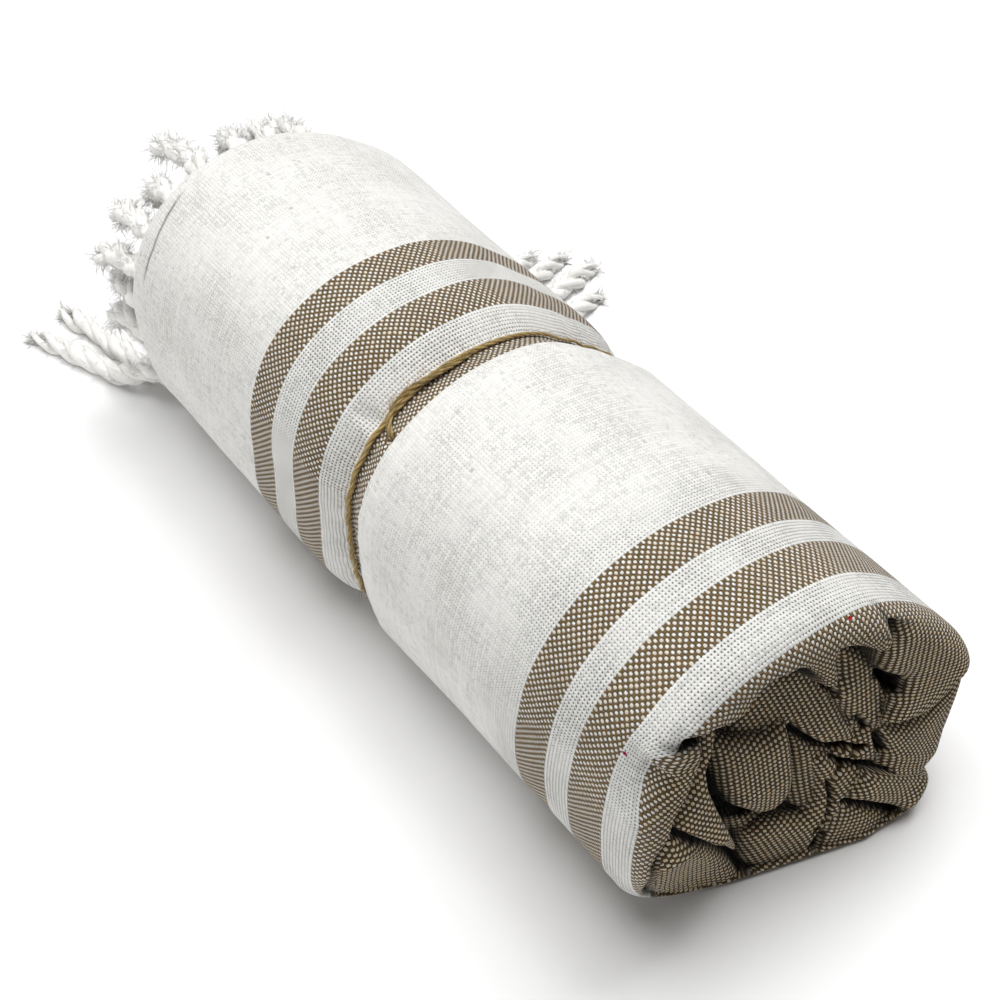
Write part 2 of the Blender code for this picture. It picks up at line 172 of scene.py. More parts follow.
RECEDE = -15 * MM  # how far the lower left corner of the end falls back
RECEDE_LOW, RECEDE_LEFT = (-5 * MM, 38.5 * MM), (20 * MM, 54 * MM)  # from where, and over how far
BULGES = (  # y, z, reach and height in mm
    (54, -20, 24, -3.0), (37, -43, 15, 3.2),
)
FRONT_FOLDS = (  # name, lift off the plane in mm, rise towards the lip, way of the cross threads, outline
    ("outer_top", 2, 0.03, (0.145, -0.99),
     ((-70, 42), (-42, 36.5), (-38, 35.5), (-34, 34.5), (-30.5, 34), (-27, 33.5), (-23.5, 32.5),
      (-19.5, 32.5), (-17.5, 34.5), (-15, 37), (-11.5, 38), (-7.5, 37), (-5, 37), (-2, 35), (0, 32),
      (2.4, 28), (4.3, 24), (6.5, 24.5), (7, 27), (6.5, 30), (6, 33.5), (6.5, 35.4), (9.2, 34.4),
      (13, 32), (16.5, 28.5), (18.5, 26.5), (20.3, 26.3), (22.3, 27), (22.4, 30), (21.5, 34),
      (19.8, 39), (18, 44), (20, 62), (-60, 65))),
    ("outer_left", 0.8, 0.0, (0.866, -0.5),
     ((-70, 44), (-46, 36), (-41.5, 35), (-37.5, 34), (-33.3, 33), (-28.9, 32), (-29.7, 24.8),
      (-31.8, 20.3), (-33.3, 16.4), (-35.1, 14.8), (-36.9, 11.4), (-38.3, 6.9), (-41.6, 2.8),
      (-42.9, -1.3), (-42.9, -10), (-41.6, -18), (-38.6, -27), (-34.1, -36), (-40, -62), (-70, -62))),
    ("left_inner", 0.2, 0.10, (0.0, -1.0),
     ((-28.8, 32), (-24.9, 32.2), (-23.8, 27.5), (-25.2, 22.6), (-26.7, 19), (-26.6, 13.7),
      (-25.3, 7.4), (-23.1, -1.3), (-18.7, -13.9), (-16.1, -22.2), (-19.5, -19.4), (-25.6, -9.2),
      (-30.5, -3.1), (-34.6, 2.3), (-38, 6.4), (-36.7, 11.1), (-34.9, 14.5), (-33.1, 16),
      (-31.6, 20), (-29.6, 24.5))),
    ("foot_left", 0.2, 0.0, (-0.238, 0.971),
     ((-40, -62), (-34, -36), (-38.4, -27), (-41.4, -18), (-42.7, -10), (-42.8, -1), (-41.8, 3.2),
      (-38.4, 6.9), (-34.9, 2.3),
      (-31.1, -3.6), (-26.8, -9.6), (-21.4, -19), (-14.8, -32), (-10.9, -41), (-9, -60))),
    ("right_lobe", 1.5, 0.05, (-0.973, -0.23),
     ((18, 62), (18.6, 44), (23.6, 34.2), (24.5, 27.8), (23.3, 25.5), (20.6, 23.8), (20.5, 21.1),
      (20.9, 18.4), (22.8, 15.3), (26.8, 11.8), (27.8, 9.5), (27, 6.8), (24.8, 6.2), (24.3, 3.7),
      (24.3, 1.1), (22.7, -1.6), (27.2, -3.7), (31.2, -4.8), (35.1, -5.5), (38.9, -4.8),
      (42.5, -3.1), (45.4, -1.3), (49, -0.5), (70, 3), (66, 40), (30, 62))),
    ("lower_right", 0.8, 0.06, (-0.81, 0.587),
     ((23.7, -3.3), (28.3, -5.5), (32.2, -6.5), (36.2, -7.2), (40, -6.5), (43.7, -4.8), (48, -2.5),
      (70, 2), (70, -60), (50, -62), (40, -46), (29.7, -37.5), (19, -27.5), (13.8, -24.1),
      (16.3, -20.2), (19.7, -16.6), (21.7, -16.9), (23.9, -16.3), (24.1, -13.7), (22.9, -9.3),
      (22, -5.9))),
    ("bottom_band", 0.0, 0.0, (-0.5, 0.866),
     ((7.6, -33.1), (14.4, -25.5), (19.6, -28.8), (30.5, -38.9), (42, -49), (40, -70), (8, -70),
      (5.9, -37))),
    ("second_turn", -1.5, 0.08, (0.93, -0.37),
     ((-12, -29.8), (-11.3, -24.5), (-5, -23.1), (4.1, -26), (6.5, -22.5), (7, -15.3), (6.1, -8.4),
      (9.6, -6.8), (14.5, -11.6), (19.4, -14.8), (23.8, -17.3), (25.9, -18.3), (26.4, -20.5),
      (24.1, -21), (22, -20.7), (18.4, -24), (15.9, -27.9), (9.1, -36), (6, -44), (5, -60),
      (-11, -60), (-9, -46), (-11.7, -35))),
    ("pleat_low", -2.2, 0.08, (0.8, -0.6),
     ((14, 0), (17, 3), (20.5, 2), (24.5, -1), (28, -4), (28.9, -7.7),
      (27.2, -10), (25.5, -11.8), (26.5, -15.3), (27.6, -19.3), (27, -20.2), (24.9, -19.1),
      (20.5, -16.5), (15.6, -13.3), (10.8, -8.9), (12.1, -7.6), (14.9, -6.5), (16.7, -4.1))),
    ("pleat_top", -2.8, 0.10, (0.75, -0.66),
     ((11.7, 28.2), (18.3, 24.2), (24.6, 17.6), (25.6, 13.2), (26.1, 8.8), (28.1, 2.7), (29.4, -2.5),
      (29.5, -6.7), (27, -7.5), (22, -5), (18, -1), (14.5, 3.6), (12.3, 8.5), (9.4, 13.5),
      (12.4, 16.7), (12.1, 21))),
    ("inner_shelf", -4.6, 0.10, (0.8, -0.6),
     ((0.4, 5.5), (5.2, 0.4), (13.2, -5.7), (19.5, -7.3), (19.8, -8.4), (19, -10.1), (17, -12),
      (13.9, -13.3), (11.3, -14.2), (10.2, -15.8), (10.9, -22.4), (10.2, -29.4), (8.1, -32.8),
      (4, -26.8), (1.2, -21.8), (1.7, -14.3), (1.1, -6.6), (0.9, 1.1))),
    ("low_shelf", -5.2, 0.10, (0.85, -0.5),
     ((-16.9, -11.6), (-14.5, -12.8), (-7.1, -19), (-2.6, -21), (2.3, -22.5), (5, -28.9),
      (9.1, -34.7), (0.1, -33.4), (-5.9, -35.9), (-9, -42), (-13.5, -28.5))),
    ("arch", -6.0, 0.16, (0.9, -0.44),
     ((-21, 16), (-14, 22), (-9, 27), (-4, 28.5), (0, 27.5), (4, 26), (7.5, 21), (11.3, 16), (13.3, 10),
      (15.7, 3.1), (19.2, -3.7), (21.2, -8.9), (20.6, -10.2), (15.3, -7.3), (8.4, -3.2),
      (4.6, 0.6), (0.7, 6.8), (-3.2, 7.6), (-10.5, 9.6), (-16.3, 13.1))),
    ("pillow", -3.5, 0.10, (0.76, -0.65),
     ((-22.8, 17.2), (-20, 18.1), (-14.3, 15.1), (-8.5, 12.3), (-3.4, 11.9), (-1.8, 12.5),
      (-0.7, 3.9), (-0.6, -3.4), (-0.5, -9.9), (-1.9, -14.6), (-5.8, -16.8), (-10.6, -14.2),
      (-18.5, -4.1), (-21.4, 3.3), (-22.8, 12))),
)
RIM_SPANS = {  # angles round the roll, in degrees, where these folds carry on the side's weave
    "outer_top": (60, 145), "outer_left": (135, 232), "right_lobe": (-15, 70), "lower_right": (-62, 0),
}
CREVICES = (  # depth and half width in mm, line
    (5, 1.2, ((-38, 6.4), (-34.6, 2.3), (-30.5, -3.1), (-25.6, -9.2), (-20, -19), (-16, -26))),
    (4.5, 1.8, ((-46, 36), (-40, 35.5), (-35, 34), (-31, 33))),
    (6, 1.3, ((22.3, 27), (22.6, 30), (21.8, 35), (20, 39))),
    (8, 2.2, ((23.5, 13), (25.8, 10.5), (26.3, 8))),
    (2.5, 1.3, ((8.5, 19), (10.5, 15), (12.5, 11))),
    (2, 1.4, ((17.5, 2), (19.5, -1.5), (20.5, -4))),
    (4.5, 1.4, ((23.4, -7), (24, -10), (24.6, -13))),
    (4, 1.6, ((14.5, -26), (20, -30), (30, -39))),
    (7, 2.6, ((-19, -7), (-15, -13.5), (-9.5, -18.5), (-5, -18.5))),
    (3, 1.2, ((-2, -15), (-0.2, -11), (0, -3), (0.2, 4), (0.6, 8))),
    (3, 1.2, ((1, 6), (8, -3.5), (15, -8), (20.5, -10.5))),
    (3, 1.1, ((19, -10.5), (14, -13.8), (10.5, -16.5), (11.3, -23), (10.4, -30), (7.5, -34))),
    (2.5, 1.0, ((11.5, -9.8), (16, -14), (21, -17), (26, -20.3))),
    (2.5, 1.2, ((-26.8, 18), (-26.4, 12), (-24.5, 4), (-21.5, -6), (-18, -14), (-13, -29))),
    (2, 1.6, ((9.3, -36), (6.5, -41))),
)
# painted shadow lines in narrow hollows under lips, added to the painted shade of the near end
PAINTED_HOLLOW_SHADOWS = (  # how dark, half width in mm, line: narrow places under a lip at the very edge
    (0.42, 2.4, ((-49, 33.5), (-44, 34.3), (-38, 33.8), (-31, 32.3))),
    (0.30, 2.0, ((21, 33), (20, 38), (19.2, 42))),
    (0.20, 4.0, ((-21, 29), (-17, 31), (-13.5, 33.5), (-10, 34.5), (-6, 34), (-3, 31.5), (0, 28))),
    (0.30, 3.0, ((-14, -17.5), (-9, -20), (-3, -20.5))),
)
FOOT_FROM = math.radians(220)  # the side's own weave goes on round the rim up to here
COARSER = {"foot_left": 0.82}  # threads a millimetre on this fold, which is seen at a slant, as a share

# The far end: the turns of the band, wound clockwise from the seam as seen from the near end
TURNS = 3
FIRST_TURN_POWER = 0.6
FAR_UNEVEN = 2.2 * MM
FAR_NOSE = 6.5 * MM  # rounding of the far end's turns
FAR_RIM_RADIUS = 7  # in mm
FAR_RIM = ((0, FAR_RIM_RADIUS), (360, FAR_RIM_RADIUS))

# The weave: threads that run round the roll are counted along it, and the others around it
THREADS = (  # x in mm, number of the stripe thread there
    (-213, -236), (-150, -165), (-140.3, -154), (-130.5, -144), (-120, -132), (-110.8, -122),
    (-104, -114), (-39.3, -42), (-29, -30), (-20.9, -22), (-10, -10), (0, 0), (89, 100),
)
TAUPE_STRIPES = ((-165, -154), (-144, -132), (-122, -114), (-42, -30), (-22, -10), (0, 9999))
OPEN_BANDS = ((-154, -144), (-132, -122), (-30, -22), (-10, 0))
THREADS_ROUND = 332
FOLD_THREADS, FOLD_APART = 2000, 100.0  # each inner fold has a count of its own, deep in the taupe
INNER_SHIFT, TURN_SHIFT = 75.0, 22.0  # the far end's inner turns show threads this far on
STRIPE_PITCH = 0.89 * MM


def rounded(depth, height, width):
    """Profile of a rounded fold edge: -height at its edge, 0 from width inwards."""
    share = np.clip(depth / width, 0, 1)
    return -height * (1 - np.sqrt(1 - (1 - share) ** 2))


def from_line(y, z, y0, z0, y1, z1):
    """Distance to a piece of line, and the way to it from its nearest point."""
    dy, dz = y1 - y0, z1 - z0
    along = np.clip(((y - y0) * dy + (z - z0) * dz) / (dy * dy + dz * dz), 0, 1)
    off_y, off_z = y - y0 - along * dy, z - z0 - along * dz
    return np.hypot(off_y, off_z), off_y, off_z


def fold_shape(outline, y, z):
    """A fold's depth inside its outline, its drop there, and the way inwards from its edge."""
    corners = np.array(outline, float) * MM
    following = np.roll(corners, -1, axis=0)
    area = np.sum(corners[:, 0] * following[:, 1] - following[:, 0] * corners[:, 1])
    nearest = np.full(y.shape, np.inf)
    drop, outer_drop = np.zeros(y.shape), np.zeros(y.shape)
    off_y, off_z = np.zeros(y.shape), np.zeros(y.shape)
    inside = np.zeros(y.shape, bool)
    for (y0, z0), (y1, z1) in zip(corners, following):
        dy, dz = y1 - y0, z1 - z0
        distance, way_y, way_z = from_line(y, z, y0, z0, y1, z1)
        faces_lip = (dz * LIP_WAY[0] - dy * LIP_WAY[1]) / math.hypot(dy, dz) * math.copysign(1, area)
        lip = float(np.clip((faces_lip - LIP_FROM) / LIP_RAMP, 0, 1))
        high = TUCK_HEIGHT + (LIP_HEIGHT - TUCK_HEIGHT) * lip
        wide = TUCK_WIDTH + (LIP_WIDTH - TUCK_WIDTH) * lip
        steep = TUCK_SLOPE + (LIP_SLOPE - TUCK_SLOPE) * lip
        drop = np.minimum(drop, rounded(distance, high, wide))
        nearer = distance < nearest
        outer_drop = np.where(nearer, -high - steep * distance, outer_drop)
        off_y, off_z = np.where(nearer, way_y, off_y), np.where(nearer, way_z, off_z)
        nearest = np.minimum(nearest, distance)
        crosses = (z0 > z) != (z1 > z)
        inside ^= crosses & (y < y0 + dy * (z - z0) / (dz if dz else 1))
    depth = np.where(inside, nearest, -nearest)
    inward = np.stack([off_y, off_z]) / np.maximum(nearest, 1e-9) * np.where(inside, 1, -1)
    return depth, np.where(inside, drop, outer_drop), inward


def off_rim(y, z):
    """0 near the edge of the near end and 1 well inside it."""
    theta = np.arctan2(z, y)
    edge = np.minimum(plain_radius(theta), FLOOR_Z / np.minimum(np.sin(theta), -1e-3))
    return np.clip((edge - np.hypot(y, z) - RIM_CLEAR) / RIM_RAMP, 0, 1)


def fold_heights(y, z):
    """The height of each near-end fold at these points, with hardly a dip near the edge."""
    heights = []
    deepest_drop = -RIM_DIP - DEEPEST * off_rim(y, z)
    for _, lift, rise, _, outline in FRONT_FOLDS:
        drop = fold_shape(outline, y, z)[1]
        inner = np.array([c for c in outline if math.hypot(*c) < INNER_CORNERS], float) * MM
        towards = (y - inner[:, 0].mean()) * LIP_WAY[0] + (z - inner[:, 1].mean()) * LIP_WAY[1]
        tilt = rise * np.clip(towards, -RISE_REACH, RISE_REACH)
        heights.append(np.maximum(lift * MM + tilt + np.maximum(drop, deepest_drop), -DEEPEST))
    return np.array(heights)


def off_path(line, y, z):
    """Distance to a path of straight pieces, whose corners are in millimetres."""
    points = np.array(line, float) * MM
    pieces = [from_line(y, z, *first, *second)[0] for first, second in zip(points, points[1:])]
    return np.min(pieces, axis=0)


def front_height(y, z):
    """x of the near end: the highest of the folds, with the crevices sunk between them."""
    low = np.clip((RECEDE_LOW[0] - z) / RECEDE_LOW[1], 0, 1)
    left = np.clip((RECEDE_LEFT[0] - y) / RECEDE_LEFT[1], 0, 1.2)
    x = FACE_X + FACE_PER_Y * y + FACE_PER_Z * z + RECEDE * low * left + fold_heights(y, z).max(axis=0)
    for at_y, at_z, reach, height in BULGES:
        x = x + height * MM * bump(np.hypot(y - at_y * MM, z - at_z * MM), reach * MM)
    inner = off_rim(y, z)
    for depth, half_width, line in CREVICES:
        x = x - depth * MM * bump(off_path(line, y, z), half_width * MM) * inner
    return x


def crease_share(theta, turn):
    """Where the crease inside a turn of the far end lies, as a share of the radius."""
    wound = (SEAM_ANGLE - theta) % (2 * np.pi) / (2 * np.pi) + turn
    return 1 - np.where(wound < 1, wound ** FIRST_TURN_POWER, wound) / TURNS


def far_height(y, z):
    """x of the far end, whose turns are parted by a spiral crease."""
    theta = np.arctan2(z, y)
    radius = section_radius(theta)
    share = np.hypot(y, z) / radius
    depth = np.full(np.shape(y), np.inf)
    uneven = np.zeros(np.shape(y))
    for turn in range(TURNS):
        crease = crease_share(theta, turn)
        depth = np.minimum(depth, np.abs(share - crease) * radius)
        wave = np.sin(2 * theta + 1.9 * turn)
        uneven = np.where(share < crease, FAR_UNEVEN * wave, uneven)
    uneven = uneven * np.clip(depth / FAR_NOSE, 0, 1)
    return FAR_END_X - rounded(depth, FAR_NOSE, FAR_NOSE) + uneven


class Relief:
    """The height of an end on a fine grid, softened, and a painted shade for each place, from how hemmed in
    it is.
    """

    def __init__(self, height, sign, painted_shadow_lines=()):
        ticks = np.arange(-GRID_HALF, GRID_HALF + GRID_STEP / 2, GRID_STEP)
        y, z = np.meshgrid(ticks, ticks, indexing="ij")
        self.height = height(y, z)
        for axis in (0, 1) * SOFTENING_ROUNDS:
            around = np.roll(self.height, 1, axis) + np.roll(self.height, -1, axis)
            self.height = (2 * self.height + around) / 4
        # painted shade: a place is darker the more the surface round it rises over it
        self.shade = np.zeros(y.shape)
        for reach in HEMMED_REACHES:
            for turn in np.radians(np.arange(HEMMED_WAYS) * 360 / HEMMED_WAYS):
                shift = (round(reach * math.cos(turn)), round(reach * math.sin(turn)))
                rise = sign * (np.roll(self.height, shift, (0, 1)) - self.height)
                hemmed = np.clip(rise / (reach * GRID_STEP), 0, STEEPEST)
                self.shade += hemmed / (len(HEMMED_REACHES) * HEMMED_WAYS)
        # painted shadow lines along the narrow hollows under lips
        for dark, half_width, line in painted_shadow_lines:
            self.shade += dark * bump(off_path(line, y, z), half_width * MM)

    def at(self, y, z):
        """The height and the painted shade between the grid's points."""
        row, column = (y + GRID_HALF) / GRID_STEP, (z + GRID_HALF) / GRID_STEP
        i, j = np.floor(row).astype(int), np.floor(column).astype(int)
        u, v = row - i, column - j
        found = []
        for grid in (self.height, self.shade):
            low = grid[i, j] * (1 - u) + grid[i + 1, j] * u
            high = grid[i, j + 1] * (1 - u) + grid[i + 1, j + 1] * u
            found.append(low * (1 - v) + high * v)
        return found


def undulation(theta, x):
    """Gentle unevenness of the wound cloth, with puckers beside the tie."""
    slow = np.sin(3 * theta + 31 * x + 0.4) + np.sin(5 * theta - 47 * x + 2.1)
    fine = np.sin(9 * theta + 83 * x + 1.0) * np.sin(4 * theta - 59 * x)
    puckers = np.sin(23 * theta + 9 * np.sin(2 * theta)) * np.exp(-np.abs(x - TIE_X) / PUCKER_REACH)
    return SLOW_WAVES * slow + FINE_WAVES * fine + PUCKERS * puckers


def pinch_share(theta, x, edge=PINCH_EDGE):
    """How pinched the corner of the near end is: sudden above its hollow, gradual below."""
    below = angle_from(theta, PINCH_ANGLE)
    share = np.where(below < 0, bump(below, edge), bump(below, PINCH_TAIL))
    return share * bump(np.minimum(x, 0), PINCH_REACH)


def side_radius(theta, x):
    """Radius of the side, pulled in by the tie, by its tucked end and at the pinched corner."""
    groove = table(GROOVE, (x - TIE_X) / MM) * MM
    from_pit = np.degrees(angle_from(theta, TIE_PIT_ANGLE))
    off_pit = np.hypot((x - TIE_X) / MM - TIE_PIT_PLACE, from_pit * MM_A_DEGREE)
    tucked = TIE_PIT_DEPTH * bump(off_pit, TIE_PIT_REACH)
    beside = bump(x - TIE_X - PIT_CREASE_PLACE, PIT_CREASE_REACH)
    crease = PIT_CREASE * bump(from_pit, PIT_CREASE_ANGLE) * beside
    pinch = PINCH_DEPTH * pinch_share(theta, x)
    return section_radius(theta) - groove - pinch - tucked - crease + undulation(theta, x)


def reach_along(route):
    """How far along a route each of its points is."""
    return np.concatenate([[0], np.cumsum(np.linalg.norm(np.diff(route, axis=0), axis=1))])


def smooth_line(stops, count):
    """Points evenly spaced along a smooth curve through the given ones."""
    stops = np.array(stops, float)
    padded = np.vstack([2 * stops[0] - stops[1], stops, 2 * stops[-1] - stops[-2]])
    fine = []
    for a, b, c, d in zip(padded, padded[1:], padded[2:], padded[3:]):
        for t in np.arange(16) / 16:
            fine.append(0.5 * (2 * b + (c - a) * t + (2 * a - 5 * b + 4 * c - d) * t * t
                               + (3 * b - a - 3 * c + d) * t ** 3))
    fine = np.array(fine + [stops[-1]])
    reach = reach_along(fine)
    wanted = np.linspace(0, reach[-1], count)
    return np.stack([np.interp(wanted, reach, fine[:, k]) for k in range(fine.shape[1])], axis=-1)


def nose_excess(depth):
    """How much longer the cloth is round a fold's lip and wall than in plan."""
    share = np.clip(depth / LIP_WIDTH, 0, 1)
    nose = LIP_WIDTH * (np.arcsin(1 - share) - (1 - share))
    return nose + np.maximum(-depth, 0) * (math.hypot(1, LIP_SLOPE) - 1)


def placed(name, data):
    made = bpy.data.objects.new(name, data)
    bpy.context.scene.collection.objects.link(made)
    return made


def add_mesh(name, points, quads, fans, finish, label, corner_values, solid):
    """A smooth mesh piece from points, faces of four corners and fans, each a centre and its ring.

    It stands for a solid of the model, rides on the one body and takes the finish it is given.
    """
    faces = np.reshape(quads, (-1, 4)).tolist()
    for centre, ring in fans:
        faces += np.stack([ring, np.roll(ring, -1), np.full(len(ring), centre)], axis=-1).tolist()
    mesh = bpy.data.meshes.new(name)
    mesh.from_pydata(points + np.array(AXIS), [], faces)
    mesh.validate()
    layer = mesh.attributes.new(label, "FLOAT_VECTOR", "CORNER")
    layer.data.foreach_set("vector", corner_values.astype(np.float32).ravel())
    mesh.shade_smooth()
    mesh.materials.append(finish)
    made = placed(name, mesh)
    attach(made, "root")
    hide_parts(solid)
    return made


def operator(operation, reflected=False):
    """A method of Wire that adds one Math node."""
    def method(self, *other):
        return self.maths(operation, *((*other, self) if reflected else (self, *other)))
    return method


class Wire:
    """A socket of a node tree. Arithmetic on it adds Math nodes, and add() any other node."""

    def __init__(self, tree, socket=None):
        self.tree = tree
        self.socket = socket

    def add(self, kind, settings, sockets, output=0):
        """A new node: its settings come first, then the values or links of its sockets."""
        node = self.tree.nodes.new(kind)
        for name, value in settings.items():
            setattr(node, name, value)
        for key, value in sockets.items():
            if isinstance(value, Wire):
                self.tree.links.new(value.socket, node.inputs[key])
            else:
                node.inputs[key].default_value = value
        return Wire(self.tree, node.outputs[output])

    def maths(self, operation, *values):
        return self.add("ShaderNodeMath", {"operation": operation}, dict(enumerate(values)))

    __add__ = __radd__ = operator("ADD")
    __mul__ = __rmul__ = operator("MULTIPLY")
    __sub__ = operator("SUBTRACT")
    __rsub__ = operator("SUBTRACT", reflected=True)
    __truediv__ = operator("DIVIDE")
    __pow__ = operator("POWER")
    __gt__ = operator("GREATER_THAN")
    __lt__ = operator("LESS_THAN")
    __abs__ = operator("ABSOLUTE")

    def between(self, low, high):
        """0 below low, 1 above high and smooth between them."""
        sockets = {"Value": self, "From Min": low, "From Max": high}
        return self.add("ShaderNodeMapRange", {"interpolation_type": "SMOOTHSTEP"}, sockets)

    def mixed(self, first, second):
        """The first colour where this is 0 and the second where it is 1."""
        colours = [c if isinstance(c, Wire) else (*c, 1) for c in (first, second)]
        settings = {"data_type": "RGBA", "clamp_factor": True}
        return self.add("ShaderNodeMix", settings, {0: self, 6: colours[0], 7: colours[1]}, 2)

    def split(self):
        """The three numbers of a vector."""
        parts = self.add("ShaderNodeSeparateXYZ", {}, {0: self}).socket.node.outputs
        return [Wire(self.tree, part) for part in parts]

    def joined(self, *values):
        return self.add("ShaderNodeCombineXYZ", {}, dict(enumerate(values)))

    def noise(self, place, scale, detail=2.0, roughness=0.5):
        sockets = {"Vector": place, "Scale": scale, "Detail": detail, "Roughness": roughness}
        return self.add("ShaderNodeTexNoise", {}, sockets)

    def chance(self, place):
        """An even random number for each whole place."""
        return self.add("ShaderNodeTexWhiteNoise", {}, {"Vector": place})

    def attribute(self, name):
        return self.add("ShaderNodeAttribute", {"attribute_name": name}, {}, 1)


def new_finish(name, roughness, sheen, specular=0.25):
    """A material and its shader, with what is the same all over set on the shader itself."""
    made = bpy.data.materials.new(name)
    made.use_nodes = True
    shader = made.node_tree.nodes["Principled BSDF"]
    shader.inputs["Roughness"].default_value = roughness
    shader.inputs["Specular IOR Level"].default_value = specular
    shader.inputs["Sheen Weight"].default_value = sheen
    shader.inputs["Sheen Roughness"].default_value = 0.4
    return made, shader, Wire(made.node_tree)


def plug(shader, name, wire):
    wire.tree.links.new(wire.socket, shader.inputs[name])


CREAM, CREAM_GREY, CREAM_WARM = (0.82, 0.81, 0.78), (0.55, 0.55, 0.53), (0.82, 0.77, 0.69)
BEIGE, FLECK = (0.68, 0.54, 0.34), (0.20, 0.17, 0.14)
TAUPE, OLIVE, RUST = (0.185, 0.122, 0.060), (0.130, 0.105, 0.036), (0.27, 0.085, 0.03)
TAUPE_PAINTED_SHADE = (0.064, 0.039, 0.013)  # painted shade: the taupe threads deeper in tone at the near end's face
# painted shade in the weave: round the dashes and in the holes between threads
TAUPE_DARK, OPEN_DARK, CREAM_DARK = (0.018, 0.011, 0.005), (0.075, 0.07, 0.065), (0.22, 0.215, 0.205)
MAGENTA, RED = (0.32, 0.005, 0.06), (0.42, 0.02, 0.02)
STRAY_TUFTS = (  # thread numbers round and along, length round and along in threads, colour
    (170.7, -8.8, 0.5, 1.3, MAGENTA), (105.4, 0.9, 0.9, 0.6, RED),
)
# the hem's crease is drawn as a dent with a painted shade line along it
HEM_FOLD, HEM_SLANT, HEM_SLANT_BELOW = -225.0, 0.17, 166.0  # thread of the hem's crease, and its slant
HEM_FOLD_SPAN, HEM_FOLD_FADES = (144.0, 180.0), (10.0, 8.0)  # cross threads where it shows and fades
THREAD_RELIEF = 0.26 * MM


